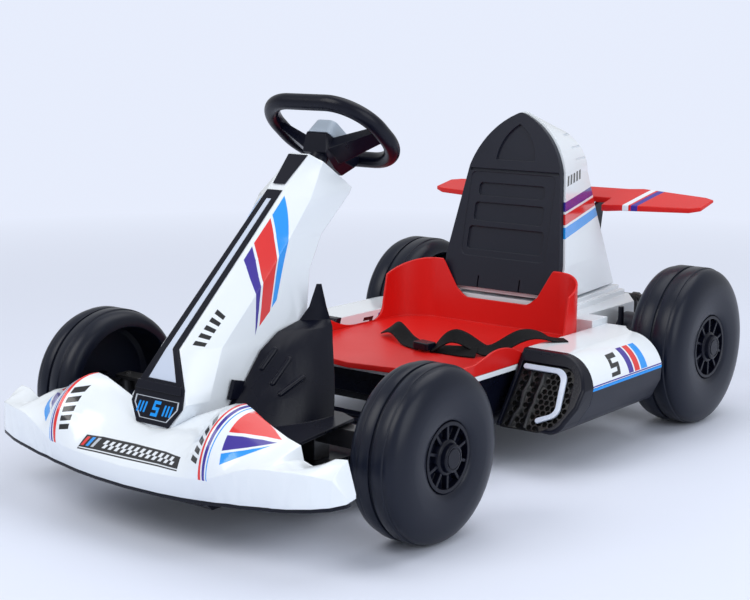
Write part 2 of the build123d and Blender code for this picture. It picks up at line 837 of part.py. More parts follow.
# Rim line of the seat's side as (y, z) steps; everything above it is cut away
seat_rim_start = (-200, 160)
seat_rim_steps = [
    ((-110, 161),),
    ((-60, 168), (-18, 178)),
    ((26, 184), (66, 174)),
    ((96, 163), (130, 158)),
    ((176, 158),),
    ((198, 166), (207, 187)),
    ((218, 236),),
    ((284, 262),),
    ((300, 266),),
    ((400, 266),),
    ((400, 400),),
    ((-200, 400),),
]


def seat_pan():
    """Red bucket seat: floor, side rims with thigh lobes and two tall ears at the back."""
    height = seat_ear_top - seat_floor_bottom
    tub = extrude(Plane.XY.offset(seat_floor_bottom) * seat_outline(0), amount=height)
    tub -= extrude(Plane.XY.offset(seat_floor_bottom + seat_wall) * seat_outline(seat_wall), amount=height)
    reach = seat_half_width + 100
    tub -= extrude(curved_face(Plane.YZ.offset(-reach), seat_rim_start, seat_rim_steps), amount=2 * reach)
    ear = seat_ear_top + 2
    notch = [(-125, ear), (-111, 258), (-84, 214), (-70, 203), (-62, seat_back_top), (62, seat_back_top),
             (70, 203), (84, 214), (111, 258), (125, ear), (125, 400), (-125, 400)]
    return tub - slab_xz(notch, 200, 400)


def ribbon(start, end, steps):
    """A strap in the upright plane from start to end on plan, along lines and arcs of distance and height."""
    along = Vector(end[0] - start[0], end[1] - start[1], 0).normalized()
    side = along.cross(Vector(0, 0, 1))
    plane = Plane(origin=Vector(start[0], start[1], 0) - side * (belt_width / 2), x_dir=along, z_dir=side)
    half = belt_thickness / 2
    here = steps[0][0]
    band = None
    for step in steps[1:]:
        stop = step[-1]
        if len(step) == 1:
            points = [(here[0], here[1] - half), (here[0], here[1] + half), (stop[0], stop[1] + half),
                      (stop[0], stop[1] - half)]
            face = polygon_face(plane, points)
        else:
            centre = ThreePointArc(here, step[0], stop).arc_center
            upper = []
            lower = []
            for x, y in (here, step[0], stop):
                out = Vector(x - centre.X, y - centre.Y).normalized() * half
                upper.append((x + out.X, y + out.Y))
                lower.append((x - out.X, y - out.Y))
            face = curved_face(plane, upper[0], [(upper[1], upper[2]), (lower[2],), (lower[1], lower[0])])
        piece = extrude(face, amount=belt_width)
        band = piece if band is None else band + piece
        here = stop
    return band


belt_floor_z = seat_floor_bottom + seat_wall + fit_gap + belt_thickness / 2
buckle_place = (30.0, 38.0)
belt_right_start = (-98.0, 102.0)
belt_left_bend = (126.0, 66.0)
belt_left_end = (212.0, 168.0)


def belt_right():
    """Right strap of the lap belt, arched over the seat and down to the buckle."""
    z = belt_floor_z
    reach = belt_reach(belt_right_start, buckle_place) - 2
    return ribbon(belt_right_start, buckle_place, [((0, z),), ((46, z + 26), (92, z)), ((reach, z),)])


def belt_left():
    """Left strap of the lap belt, in a loop from the buckle to the seat and then over the rim to the pod."""
    z = belt_floor_z
    reach = belt_reach(buckle_place, belt_left_bend)
    start = buckle_length / 2 + 4
    loop = [((start, z),), ((start + 36, z + 38), (reach, z))]
    end = belt_reach(belt_left_bend, belt_left_end)
    over = [((0, z),), ((end * 0.55, z + 36), (end, pod_top_z + fit_gap + belt_thickness / 2))]
    return ribbon(buckle_place, belt_left_bend, loop) + ribbon(belt_left_bend, belt_left_end, over)


def belt_reach(start, end):
    """Distance between two places on plan."""
    return (Vector(*end) - Vector(*start)).length


def belt_buckle():
    """Plastic buckle that lies on the end of the right strap."""
    z = belt_floor_z + belt_thickness / 2 + fit_gap
    plane = Plane.XY.offset(z) * Pos(*buckle_place, 0) * Rot(0, 0, -10)
    return extrude(plane * RectangleRounded(buckle_length, buckle_width, 5), amount=buckle_height)


def backrest_plane(lift):
    """Backrest plane: x across, y up the panel, z towards the driver."""
    lean = radians(backrest_lean)
    normal = Vector(0, -cos(lean), sin(lean))
    origin = Vector(0, backrest_base_y, backrest_base_z) + normal * lift
    return Plane(origin=origin, x_dir=(1, 0, 0), z_dir=normal)


def arch_face(grow, foot):
    """Pointed arch outline of the backrest, grown outwards by a margin."""
    w = backrest_half_width + grow
    shoulder = 94.0 + grow
    shoulder_s = 215.0
    top = backrest_height + grow
    mid_x = 60.0 + grow
    mid_s = 274.0 + grow * 0.5
    tip = 8.0
    lines = Polyline((-shoulder, shoulder_s), (-103 - grow, 151), (-w, 55), (-w, foot), (w, foot), (w, 55),
                     (103 + grow, 151), (shoulder, shoulder_s))
    right = ThreePointArc((shoulder, shoulder_s), (mid_x, mid_s), (tip, top - 2))
    cap = ThreePointArc((tip, top - 2), (0, top), (-tip, top - 2))
    left = ThreePointArc((-tip, top - 2), (-mid_x, mid_s), (-shoulder, shoulder_s))
    return make_face(Curve() + [lines, right, cap, left])


def on_backrest(face, lift):
    """Place a drawn face on the backrest plane."""
    return backrest_plane(lift) * face


# Slots across the backrest: lower and upper edge up the panel and half width
backrest_slots = [(163, 186, 68), (118, 151, 72), (67, 108, 78)]


def backrest_panel():
    """Black pointed backrest with a raised border, an arched recess, a step and three slots."""
    panel = extrude(on_backrest(arch_face(0, 0), -backrest_thickness), amount=backrest_thickness)
    field = on_backrest(Pos(0, 130) * RectangleRounded(176, 150, 12), -panel_recess_depth)
    panel -= extrude(field, amount=backrest_thickness)
    for low, high, half in backrest_slots:
        slot = Pos(0, (low + high) / 2) * RectangleRounded(2 * half, high - low, 7)
        panel -= extrude(on_backrest(slot, -panel_recess_depth - recess_depth), amount=backrest_thickness)
    step = Pos(0, 208.5) * Rectangle(184, 5)
    arch = curved_face(Plane.XY, (-40, 228), [((40, 228),), ((30, 262), (0, 292)), ((-30, 262), (-40, 228))])
    for cut in (step, arch, Pos(43, 10) * Rectangle(3, 22), Pos(-43, 10) * Rectangle(3, 22)):
        panel -= extrude(on_backrest(cut, -recess_depth), amount=backrest_thickness)
    return panel


# Louvres on the cowl's flanks: height of each
cowl_louvres = [441.0, 461.0, 482.0]
louvre_front_y = 418.0


def cowl_body(inset):
    """Cowl from behind the panel to its narrower rear face, drawn in at the flanks by an inset."""
    front = on_backrest(arch_face(4 - inset, -6), -backrest_thickness - fit_gap)
    lean = radians(cowl_rear_lean)
    up = Vector(0, -sin(lean), cos(lean))
    normal = Vector(1, 0, 0).cross(up)
    plane = Plane(origin=(0, cowl_foot_y, cowl_foot_z), x_dir=(1, 0, 0), z_dir=normal)
    right = [(84 - inset, 0), (78 - inset, 60), (68 - inset, 150), (62 - inset, 220)]
    steps = [(point,) for point in right]
    steps += [((46 - inset, 278), (8, 300 - inset)), ((0, 301 - inset), (-8, 300 - inset)),
              ((-46 + inset, 278), (-62 + inset, 220))]
    steps += [((-x, y),) for x, y in reversed(right[:-1])]
    rear = curved_face(plane, (-84 + inset, 0), steps[:-1])
    return ruled_loft([front, rear])


def backrest_cowl():
    """White cowl behind the backrest with three louvres on each flank."""
    cowl = cowl_body(0)
    core = cowl_body(louvre_depth)
    for z in cowl_louvres:
        rear_y = cowl_rear_y(z) - 5
        band = block(20, 120, louvre_front_y, rear_y, z - louvre_height / 2, z + louvre_height / 2) - core
        cowl -= band
        cowl -= mirrored(band)
    return cowl


def cowl_rear_y(z):
    """The y of the cowl's sloping rear face at a height."""
    return cowl_foot_y - (z - cowl_foot_z) * tan(radians(cowl_rear_lean))


def wing_under_z(y):
    """The height just below the wing's underside near its middle."""
    front_y, front_z = wing_stations[0][1]
    rear_y, rear_z = wing_stations[0][2]
    under_rear = rear_z - wing_stations[0][3] * 0.7
    return front_z + (under_rear - front_z) * (y - front_y) / (rear_y - front_y) - fit_gap


def wing_section(x, front, rear, thick):
    """One chordwise section of the wing as (y, z) of its front and rear edges."""
    points = [(front[0], front[1]), (front[0], front[1] + thick), (rear[0], rear[1]), (rear[0], rear[1] - thick * 0.7)]
    return polygon_face(Plane.YZ.offset(x), points)


strut_foot_z = 290.0
strut_head_z = 350.0
strut_tail_y = 545.0
strut_foot_depth = 9.0
strut_inner_x = 56.0
strut_thickness = 7.0

# Wing stations: x, front edge and rear edge as (y, z), and thickness
wing_stations = [
    (0, (485, 345), (570, 378), 12),
    (100, (485, 345), (570, 379), 12),
    (130, (485, 348), (570, 381), 11),
    (262, (485, 354), (551, 376), 9),
    (281, (494, 358), (541, 374), 7),
]


def wing():
    """Red rear wing with a raised middle."""
    half = None
    for first, second in zip(wing_stations, wing_stations[1:]):
        span = ruled_loft([wing_section(*first), wing_section(*second)])
        half = span if half is None else half + span
    whole = half + mirrored(half)
    clear = block(-90, 90, 480, 520, 330, 400)
    return whole - clear


def wing_strut():
    """Left triangular strut from the cowl's back to the wing's underside."""
    foot_y = cowl_rear_y(strut_foot_z) + fit_gap
    head_y = cowl_rear_y(strut_head_z) + fit_gap
    points = [
        (foot_y, strut_foot_z),
        (head_y, wing_under_z(head_y)),
        (strut_tail_y, wing_under_z(strut_tail_y)),
        (foot_y + strut_foot_depth, strut_foot_z),
    ]
    return slab_yz(points, strut_inner_x, strut_inner_x + strut_thickness)


def pod_profile_face(y):
    """Rounded pod section at y, facing forwards."""
    x0 = pod_inner_x
    x1 = pod_outer_x
    top = pod_top_z
    low = pod_bottom_z
    plane = Plane(origin=(0, y, 0), x_dir=(1, 0, 0), z_dir=(0, -1, 0))
    steps = [
        ((x0, top),),
        ((x1 - 62, top),),
        ((x1 - 20, top - 15), (x1, pod_split_z)),
        ((x1 - 2, low + 39),),
        ((x1 - 14, low + 17),),
        ((x1 - 24, low + 4), (x1 - 40, low)),
    ]
    return curved_face(plane, (x0, low), steps)


def nose_plane_y(z):
    """The y of the slanted front of a pod nose at a height."""
    return nose_foot_y + (z - pod_bottom_z) * nose_slope


def skin_front_y(z):
    """The y of the front edge of the pod's skins at a height."""
    return pod_front_y + (z - pod_bottom_z) * pod_front_lean


def nose_plane(depth):
    """The slanted front of the left pod nose, sunk by a depth: x across and y up the slope from the foot."""
    slope = Vector(0, nose_slope, 1).normalized()
    normal = Vector(1, 0, 0).cross(slope)
    origin = Vector(0, nose_foot_y, pod_bottom_z) - normal * depth
    return Plane(origin=origin, x_dir=(1, 0, 0), z_dir=normal)


def before(front_y, reach):
    """Everything in front of a slanted line, wide enough for a pod."""
    low = 40
    high = 200
    points = [(reach, low), (front_y(low), low), (front_y(high), high), (reach, high)]
    return slab_yz(points, 0, pod_outer_x + 50)


def pod_body():
    """Whole left pod between its nose and the rear wheel."""
    start = skin_front_y(pod_bottom_z) - 5
    inner = rear_tyre_inner_x
    front = rear_tyre_front_y
    body = extrude(pod_profile_face(start), amount=start - front - 23)
    arch = [(inner - pod_wheel_gap, front + 90), (inner - pod_wheel_gap, front + 19), (inner, front + 10),
            (inner + 13, front - 5), (inner + 25, front - 11), (inner + 93, front - 21),
            (pod_outer_x + 30, front - 21), (pod_outer_x + 30, front + 90)]
    return body - slab_xy(arch, 0, 300) - before(skin_front_y, start - 20)


def pod_top():
    """White upper skin of the left pod."""
    return pod_body() & block(0, pod_outer_x + 50, 0, 500, pod_split_z + fit_gap, 300)


def pod_lower():
    """Black lower half of the left pod."""
    return pod_body() & block(0, pod_outer_x + 50, 0, 500, 0, pod_split_z)


# Opening of the pod nose: start and steps across and up the slope, from the pod's inner side
pocket_start = (7, 4)
pocket_steps = [
    ((9, 115),),
    ((80, 115),),
    ((101, 108), (109, 92)),
    ((113, 61),),
    ((107, 28), (72, 5)),
]


def pocket_face(depth, inset):
    """The nose's opening at a depth, drawn in by an inset."""
    moved = [tuple((pod_inner_x + x, s) for x, s in step) for step in pocket_steps]
    start = (pod_inner_x + pocket_start[0], pocket_start[1])
    face = curved_face(Plane.XY, start, moved)
    if inset:
        face = offset(face, amount=-inset)
    return nose_plane(depth) * face


def pod_nose():
    """Black slanted frame at the front of the left pod, open for its grille."""
    body = extrude(pod_profile_face(pod_front_y + 50), amount=pod_front_y + 80)
    body -= before(nose_plane_y, -60)
    front = body.faces().filter_by(lambda face: abs(face.normal_at().Y + 1 / (1 + nose_slope ** 2) ** 0.5) < 0.01)
    body = fillet(front.edges(), nose_edge_radius)
    low = 40
    high = 200
    back = [(skin_front_y(low) - fit_gap, low), (pod_front_y + 80, low), (pod_front_y + 80, high),
            (skin_front_y(high) - fit_gap, high)]
    body -= slab_yz(back, 0, pod_outer_x + 50)
    return body - extrude(pocket_face(pocket_depth, 0), amount=pocket_depth + 20)


# Kinked ribs of the grille: points across from the pod's inner side and up the slope
grille_ribs = [
    [(29.5, 100), (30.5, 80), (26.5, 66), (31.0, 40), (25.5, 27), (23.5, 8)],
    [(51.5, 100), (52.5, 84), (50.0, 62), (51.5, 50), (49.0, 38), (50.5, 8)],
]


def rib_at(rib, s):
    """Where a kinked rib runs at a distance up the slope."""
    for (x0, s0), (x1, s1) in zip(rib, rib[1:]):
        if s1 <= s <= s0:
            return x0 + (x1 - x0) * (s - s0) / (s1 - s0)
    return rib[-1][0]


def grille_cells():
    """Places of the hexagonal cells that lie clear of the ribs and of the grille's edge."""
    room = pocket_face(0, fit_gap + grille_cell_radius + 0.8)
    plane = nose_plane(0)
    cells = []
    rows = int(125 / (grille_pitch * 0.866))
    columns = int(120 / grille_pitch)
    for row in range(rows):
        for column in range(columns):
            x = (column + 0.5 * (row % 2)) * grille_pitch + 2
            s = row * grille_pitch * 0.866 + 2
            clear = all(abs(x - rib_at(rib, s)) > grille_rib_width / 2 + grille_cell_radius for rib in grille_ribs)
            if clear and room.is_inside(plane.from_local_coords((pod_inner_x + x, s, 0))):
                cells.append((pod_inner_x + x, s))
    return cells


def pod_grille():
    """Black honeycomb plate with two kinked ribs, set in the pod nose."""
    thickness = pocket_depth - grille_depth - fit_gap
    plate = extrude(pocket_face(pocket_depth - fit_gap, fit_gap), amount=thickness)
    floor = nose_plane(grille_depth + grille_cell_depth)
    cells = [extrude(floor * Pos(x, s) * RegularPolygon(grille_cell_radius, 6, rotation=30), amount=grille_cell_depth + 1)
             for x, s in grille_cells()]
    plate -= cells
    half = grille_rib_width / 2
    for rib in grille_ribs:
        right = [(pod_inner_x + x + half, s) for x, s in rib]
        left = [(pod_inner_x + x - half, s) for x, s in reversed(rib)]
        plate += extrude(polygon_face(nose_plane(grille_depth + 0.5), right + left), amount=grille_rib_height + 0.5)
    return plate


# C-shaped lamp: start and steps across from the pod's inner side and up the slope
lamp_start = (17, 102.5)
lamp_steps = [
    ((72, 102.5),),
    ((81, 98), (85.5, 89)),
    ((92, 48),),
    ((90, 40), (85, 35)),
    ((68, 27),),
    ((65.5, 21.5), (70.5, 18.5)),
    ((90, 28.5),),
    ((99, 37), (101, 48)),
    ((95, 92),),
    ((88, 106), (75, 111.5)),
    ((17, 111.5),),
    ((12.5, 107), (17, 102.5)),
]


def pod_light():
    """Pale C-shaped lamp on the left pod nose."""
    moved = [tuple((pod_inner_x + x, s) for x, s in step) for step in lamp_steps]
    face = curved_face(nose_plane(grille_depth - fit_gap), (pod_inner_x + lamp_start[0], lamp_start[1]), moved)
    return extrude(face, amount=grille_depth - fit_gap - lamp_proud)


def gearbox():
    """Left gear housing between the tail deck and the rear wheel."""
    inner = box_half + fit_gap
    outer = rear_tyre_inner_x - gear_tyre_gap
    top = shell_plate_bottom - 1
    body = rod((inner + 15, rear_axle_y, rear_axle_z), (outer, rear_axle_y, rear_axle_z), gear_radius)
    body += block(inner, inner + 50, rear_axle_y - 60, rear_axle_y + 40, base_bottom, top)
    body += rod((inner + 28, rear_axle_y - 40, base_bottom + 20), (inner + 28, rear_axle_y - 40, tail_top + 6), 5)
    return body - axle_bore()


def rear_axle():
    """Fixed steel axle through the rear hubs."""
    end = rear_tyre_face_x + hub_cap_reach - hub_cap_length
    return rod((-end, rear_axle_y, rear_axle_z), (end, rear_axle_y, rear_axle_z), spindle_radius)


def rear_bar():
    """Dark rear bar in two collars on brackets behind the tail deck."""
    y = base_rear_y + bar_reach
    near = tail_rear_half + 5
    far = near + bar_bracket_width
    low = base_bottom + 18
    bracket = block(near, far, base_rear_y + fit_gap, y, low, low + 22)
    bracket += block(near, far, y - 6.5, y + 5, low, bar_z)
    bracket += rod((near, y, bar_z), (far, y, bar_z), bar_collar_radius)
    bar = rod((-seat_half_width, y, bar_z), (seat_half_width, y, bar_z), bar_radius)
    return bar + bracket + mirrored(bracket)


def pedal():
    """Accelerator pedal on the right of the floor tray."""
    low = tray_top + fit_gap
    points = [(-430, low), (-400, low), (-432, low + 53), (-440, low + 51)]
    return slab_yz(points, -110, -70)


# Write every sub-part
save("front_deck", front_deck(), white)
save("deck_lip", deck_lip(), black)
save("tower_shell", tower_shell(), white)
save("tower_trim", tower_trim(), black)
save("tower_light", tower_light(), white)
save("tower_cap", tower_cap(), black)
save("floor_tray", floor_tray(), black)
save("front_beam", front_beam(), grey)
save("tie_rod", tie_rod(), steel)
save("steering_column", steering_column(), steel)
save("steering_rim", steering_rim(), black)
save("steering_hub", steering_hub(), black)
save("horn_pad", horn_pad(), grey)
save("column_mount", column_mount(), grey)
save("seat_base", seat_base(), black)
save("battery", battery(), grey)
save("body_shell", body_shell(), white)
save("seat_pan", seat_pan(), red)
save("belt_right", belt_right(), black)
save("belt_left", belt_left(), black)
save("belt_buckle", belt_buckle(), black)
save("backrest_panel", backrest_panel(), black)
save("backrest_cowl", backrest_cowl(), white)
save("wing", wing(), red)
save("rear_axle", rear_axle(), steel)
save("rear_bar", rear_bar(), black)
save("pedal", pedal(), black)

for node, piece, colour in (
    ("foot_guard", foot_guard(), black),
    ("wing_strut", wing_strut(), black),
    ("pod_top", pod_top(), white),
    ("pod_lower", pod_lower(), black),
    ("pod_nose", pod_nose(), black),
    ("pod_grille", pod_grille(), black),
    ("pod_light", pod_light(), white),
    ("gearbox", gearbox(), grey),
    ("knuckle", knuckle(), grey),
):
    save(node + "_left", piece, colour)
    save(node + "_right", mirrored(piece), colour)

for end, radius, width, face_x, axle_y, axle_z in (
    ("front", front_tyre_radius, front_tyre_width, front_tyre_face_x, front_axle_y, front_axle_z),
    ("rear", rear_tyre_radius, rear_tyre_width, rear_tyre_face_x, rear_axle_y, rear_axle_z),
):
    left_tyre = Pos(face_x, axle_y, axle_z) * tyre(radius, width)
    left_hub = Pos(face_x, axle_y, axle_z) * wheel_hub(radius)
    save(end + "_tyre_left", left_tyre, black)
    save(end + "_tyre_right", mirrored(left_tyre), black)
    save(end + "_hub_left", left_hub, black)
    save(end + "_hub_right", mirrored(left_hub), black)
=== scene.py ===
import bpy
import json
from math import pi, radians, sin
from mathutils import Euler, Matrix, Vector


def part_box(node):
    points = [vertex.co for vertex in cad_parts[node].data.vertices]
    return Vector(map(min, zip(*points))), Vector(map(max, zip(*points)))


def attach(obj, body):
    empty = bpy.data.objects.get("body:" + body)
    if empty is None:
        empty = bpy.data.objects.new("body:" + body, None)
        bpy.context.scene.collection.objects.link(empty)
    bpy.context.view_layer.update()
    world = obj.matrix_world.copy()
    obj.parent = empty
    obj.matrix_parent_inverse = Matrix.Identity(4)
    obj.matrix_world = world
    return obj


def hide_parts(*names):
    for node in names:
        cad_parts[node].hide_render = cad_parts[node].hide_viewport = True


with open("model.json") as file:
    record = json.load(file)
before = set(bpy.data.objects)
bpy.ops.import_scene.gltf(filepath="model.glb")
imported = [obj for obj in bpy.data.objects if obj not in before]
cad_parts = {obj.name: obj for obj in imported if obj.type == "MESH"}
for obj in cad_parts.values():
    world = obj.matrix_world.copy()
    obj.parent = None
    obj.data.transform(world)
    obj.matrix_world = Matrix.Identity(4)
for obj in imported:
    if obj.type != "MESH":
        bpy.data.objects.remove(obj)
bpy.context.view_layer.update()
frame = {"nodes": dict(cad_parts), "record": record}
nodes = frame["nodes"]


# Camera and light

camera = {
    "place": (1.4459, -1.8730, 0.6717),
    "azimuth": 38.46,
    "elevation": 10.32,
    "roll": 0.136,
    "lens": 72.39,
    "sensor": 36.0,
    "clipStart": 0.05,
}


def addCamera():
    data = bpy.data.cameras.new("photoCamera")
    data.lens = camera["lens"]
    data.sensor_width = camera["sensor"]
    data.clip_start = camera["clipStart"]
    view = bpy.data.objects.new("photoCamera", data)
    bpy.context.scene.collection.objects.link(view)
    turn = Euler((radians(90 - camera["elevation"]), 0, radians(camera["azimuth"]))).to_matrix()
    turn = turn @ Matrix.Rotation(radians(camera["roll"]), 3, "Z")
    view.matrix_world = Matrix.Translation(camera["place"]) @ turn.to_4x4()
    bpy.context.scene.camera = view


studio = {
    "paper": (0.74, 0.78, 0.90, 1),
    "backdrop": (0.80, 0.85, 0.98, 1),
    "worldColour": (0.93, 0.96, 1, 1),
    "worldLight": 0.60,
    "fadeStart": 1.1,
    "fadeEnd": 3.2,
    "lamps": [
        # name, place, target, size, power, colour
        ("keyLamp", (-0.9, -2.4, 2.7), (0, 0, 0.2), 2.0, 44, (1, 0.99, 0.97)),
        ("fillLamp", (3.0, -0.6, 1.5), (0, 0, 0.2), 2.2, 34, (0.92, 0.96, 1)),
        ("topLamp", (0.3, 0.9, 2.8), (0, 0, 0.1), 2.4, 30, (0.97, 0.98, 1)),
    ],
}


def aimAt(obj, target):
    direction = Vector(target) - obj.location
    obj.rotation_euler = direction.to_track_quat("-Z", "Y").to_euler()


def addLamps():
    for name, place, target, size, power, colour in studio["lamps"]:
        data = bpy.data.lights.new(name, "AREA")
        data.size = size
        data.energy = power
        data.color = colour
        lamp = bpy.data.objects.new(name, data)
        bpy.context.scene.collection.objects.link(lamp)
        lamp.location = place
        aimAt(lamp, target)


def addWorld():
    world = bpy.data.worlds.new("studioWorld")
    bpy.context.scene.world = world
    world.use_nodes = True
    tree = world.node_tree
    tree.nodes.clear()
    out = tree.nodes.new("ShaderNodeOutputWorld")
    light = tree.nodes.new("ShaderNodeBackground")
    light.inputs["Color"].default_value = studio["worldColour"]
    light.inputs["Strength"].default_value = studio["worldLight"]
    seen = tree.nodes.new("ShaderNodeBackground")
    seen.inputs["Color"].default_value = studio["backdrop"]
    seen.inputs["Strength"].default_value = 1.0
    path = tree.nodes.new("ShaderNodeLightPath")
    pick = tree.nodes.new("ShaderNodeMixShader")
    tree.links.new(path.outputs["Is Camera Ray"], pick.inputs["Fac"])
    tree.links.new(light.outputs[0], pick.inputs[1])
    tree.links.new(seen.outputs[0], pick.inputs[2])
    tree.links.new(pick.outputs[0], out.inputs["Surface"])


addCamera()
addLamps()
addWorld()
bpy.context.scene.view_settings.view_transform = "Standard"
print("camera and lamps set")


# Shader node groups that several finishes share

def newGroup(name, inputs, outputs):
    group = bpy.data.node_groups.new(name, "ShaderNodeTree")
    for label, kind, value in inputs:
        socket = group.interface.new_socket(label, in_out="INPUT", socket_type=kind)
        if value is not None:
            socket.default_value = value
    for label, kind in outputs:
        group.interface.new_socket(label, in_out="OUTPUT", socket_type=kind)
    return group, group.nodes.new("NodeGroupInput"), group.nodes.new("NodeGroupOutput")


def mathNode(tree, operation, first, second=None, third=None, clamp=False):
    node = tree.nodes.new("ShaderNodeMath")
    node.operation = operation
    node.use_clamp = clamp
    for index, value in enumerate((first, second, third)):
        if value is None:
            continue
        if isinstance(value, (int, float)):
            node.inputs[index].default_value = value
        else:
            tree.links.new(value, node.inputs[index])
    return node.outputs[0]


grainLook = {"detail": 3, "driftDetail": 4, "driftScale": 9.0, "height": 0.0004}


# Fine moulded grain with a slow drift.
def makeGrain():
    group, given, out = newGroup(
        "mouldGrain",
        [("Place", "NodeSocketVector", None), ("Grain Scale", "NodeSocketFloat", 900.0),
         ("Drift Scale", "NodeSocketFloat", grainLook["driftScale"])],
        [("Grain", "NodeSocketFloat"), ("Drift", "NodeSocketFloat")],
    )
    grain = group.nodes.new("ShaderNodeTexNoise")
    grain.inputs["Detail"].default_value = grainLook["detail"]
    drift = group.nodes.new("ShaderNodeTexNoise")
    drift.inputs["Detail"].default_value = grainLook["driftDetail"]
    group.links.new(given.outputs["Place"], grain.inputs["Vector"])
    group.links.new(given.outputs["Place"], drift.inputs["Vector"])
    group.links.new(given.outputs["Grain Scale"], grain.inputs["Scale"])
    group.links.new(given.outputs["Drift Scale"], drift.inputs["Scale"])
    group.links.new(grain.outputs["Fac"], out.inputs["Grain"])
    group.links.new(drift.outputs["Fac"], out.inputs["Drift"])
    return group


wearLook = {"radius": 0.0016, "samples": 6, "patchScale": 70, "patchDetail": 4, "gain": 6.0}


# Where edges are rubbed, and a normal that rounds them.
def makeEdgeWear():
    group, given, out = newGroup(
        "edgeWear",
        [("Place", "NodeSocketVector", None), ("Amount", "NodeSocketFloat", 0.5)],
        [("Wear", "NodeSocketFloat"), ("Rounded", "NodeSocketVector")],
    )
    rounded = group.nodes.new("ShaderNodeBevel")
    rounded.samples = wearLook["samples"]
    rounded.inputs["Radius"].default_value = wearLook["radius"]
    flat = group.nodes.new("ShaderNodeNewGeometry")
    facing = group.nodes.new("ShaderNodeVectorMath")
    facing.operation = "DOT_PRODUCT"
    group.links.new(rounded.outputs["Normal"], facing.inputs[0])
    group.links.new(flat.outputs["Normal"], facing.inputs[1])
    edge = mathNode(group, "SUBTRACT", 1.0, facing.outputs["Value"], clamp=True)
    patch = group.nodes.new("ShaderNodeTexNoise")
    patch.inputs["Scale"].default_value = wearLook["patchScale"]
    patch.inputs["Detail"].default_value = wearLook["patchDetail"]
    group.links.new(given.outputs["Place"], patch.inputs["Vector"])
    broken = mathNode(group, "MULTIPLY", edge, patch.outputs["Fac"])
    strong = mathNode(group, "MULTIPLY", broken, wearLook["gain"], clamp=True)
    wear = mathNode(group, "MULTIPLY", strong, given.outputs["Amount"], clamp=True)
    group.links.new(wear, out.inputs["Wear"])
    group.links.new(rounded.outputs["Normal"], out.inputs["Rounded"])
    return group


dustLook = {"cloudScale": 24, "cloudDetail": 6, "roughness": 0.4}


# Thin dust on surfaces that look up.
def makeDust():
    group, given, out = newGroup(
        "floorDust",
        [("Place", "NodeSocketVector", None), ("Amount", "NodeSocketFloat", 0.2)],
        [("Dust", "NodeSocketFloat")],
    )
    surface = group.nodes.new("ShaderNodeNewGeometry")
    split = group.nodes.new("ShaderNodeSeparateXYZ")
    group.links.new(surface.outputs["Normal"], split.inputs[0])
    up = mathNode(group, "MULTIPLY", split.outputs["Z"], 1.0, clamp=True)
    cloud = group.nodes.new("ShaderNodeTexNoise")
    cloud.inputs["Scale"].default_value = dustLook["cloudScale"]
    cloud.inputs["Detail"].default_value = dustLook["cloudDetail"]
    group.links.new(given.outputs["Place"], cloud.inputs["Vector"])
    speck = mathNode(group, "MULTIPLY", up, cloud.outputs["Fac"])
    dust = mathNode(group, "MULTIPLY", speck, given.outputs["Amount"], clamp=True)
    group.links.new(dust, out.inputs["Dust"])
    return group


# One for points behind a line, with a soft edge.
def makeHalfPlane():
    group, given, out = newGroup(
        "halfPlane",
        [("Place", "NodeSocketVector", None), ("Direction", "NodeSocketVector", None),
         ("Offset", "NodeSocketFloat", 0.0), ("Softness", "NodeSocketFloat", 0.0005)],
        [("Inside", "NodeSocketFloat")],
    )
    along = group.nodes.new("ShaderNodeVectorMath")
    along.operation = "DOT_PRODUCT"
    group.links.new(given.outputs["Place"], along.inputs[0])
    group.links.new(given.outputs["Direction"], along.inputs[1])
    left = mathNode(group, "SUBTRACT", given.outputs["Offset"], along.outputs["Value"])
    share = mathNode(group, "DIVIDE", left, given.outputs["Softness"])
    inside = mathNode(group, "ADD", share, 0.5, clamp=True)
    group.links.new(inside, out.inputs["Inside"])
    return group


mouldGrain = makeGrain()
edgeWear = makeEdgeWear()
floorDust = makeDust()
halfPlane = makeHalfPlane()


def useGroup(tree, group, values, place=None):
    node = tree.nodes.new("ShaderNodeGroup")
    node.node_tree = group
    if place is not None:
        tree.links.new(place, node.inputs["Place"])
    for label, value in values.items():
        node.inputs[label].default_value = value
    return node


def mixColour(tree, share, first, second):
    mix = tree.nodes.new("ShaderNodeMix")
    mix.data_type = "RGBA"
    for value, socket in ((share, mix.inputs[0]), (first, mix.inputs[6]), (second, mix.inputs[7])):
        if isinstance(value, (tuple, int, float)):
            socket.default_value = value
        else:
            tree.links.new(value, socket)
    return mix.outputs[2]


def newMaterial(name):
    material = bpy.data.materials.new(name)
    material.use_nodes = True
    tree = material.node_tree
    tree.nodes.clear()
    out = tree.nodes.new("ShaderNodeOutputMaterial")
    shader = tree.nodes.new("ShaderNodeBsdfPrincipled")
    tree.links.new(shader.outputs[0], out.inputs[0])
    coords = tree.nodes.new("ShaderNodeTexCoord")
    return material, tree, shader, coords.outputs["Object"]


# The same pattern on both sides of the kart.
def mirroredPlace(tree, place):
    split = tree.nodes.new("ShaderNodeSeparateXYZ")
    tree.links.new(place, split.inputs[0])
    joined = tree.nodes.new("ShaderNodeCombineXYZ")
    tree.links.new(mathNode(tree, "ABSOLUTE", split.outputs["X"]), joined.inputs["X"])
    tree.links.new(split.outputs["Y"], joined.inputs["Y"])
    tree.links.new(split.outputs["Z"], joined.inputs["Z"])
    return joined.outputs[0]


planeAxes = {"yz": (1, 2), "xz": (0, 2), "xy": (0, 1)}


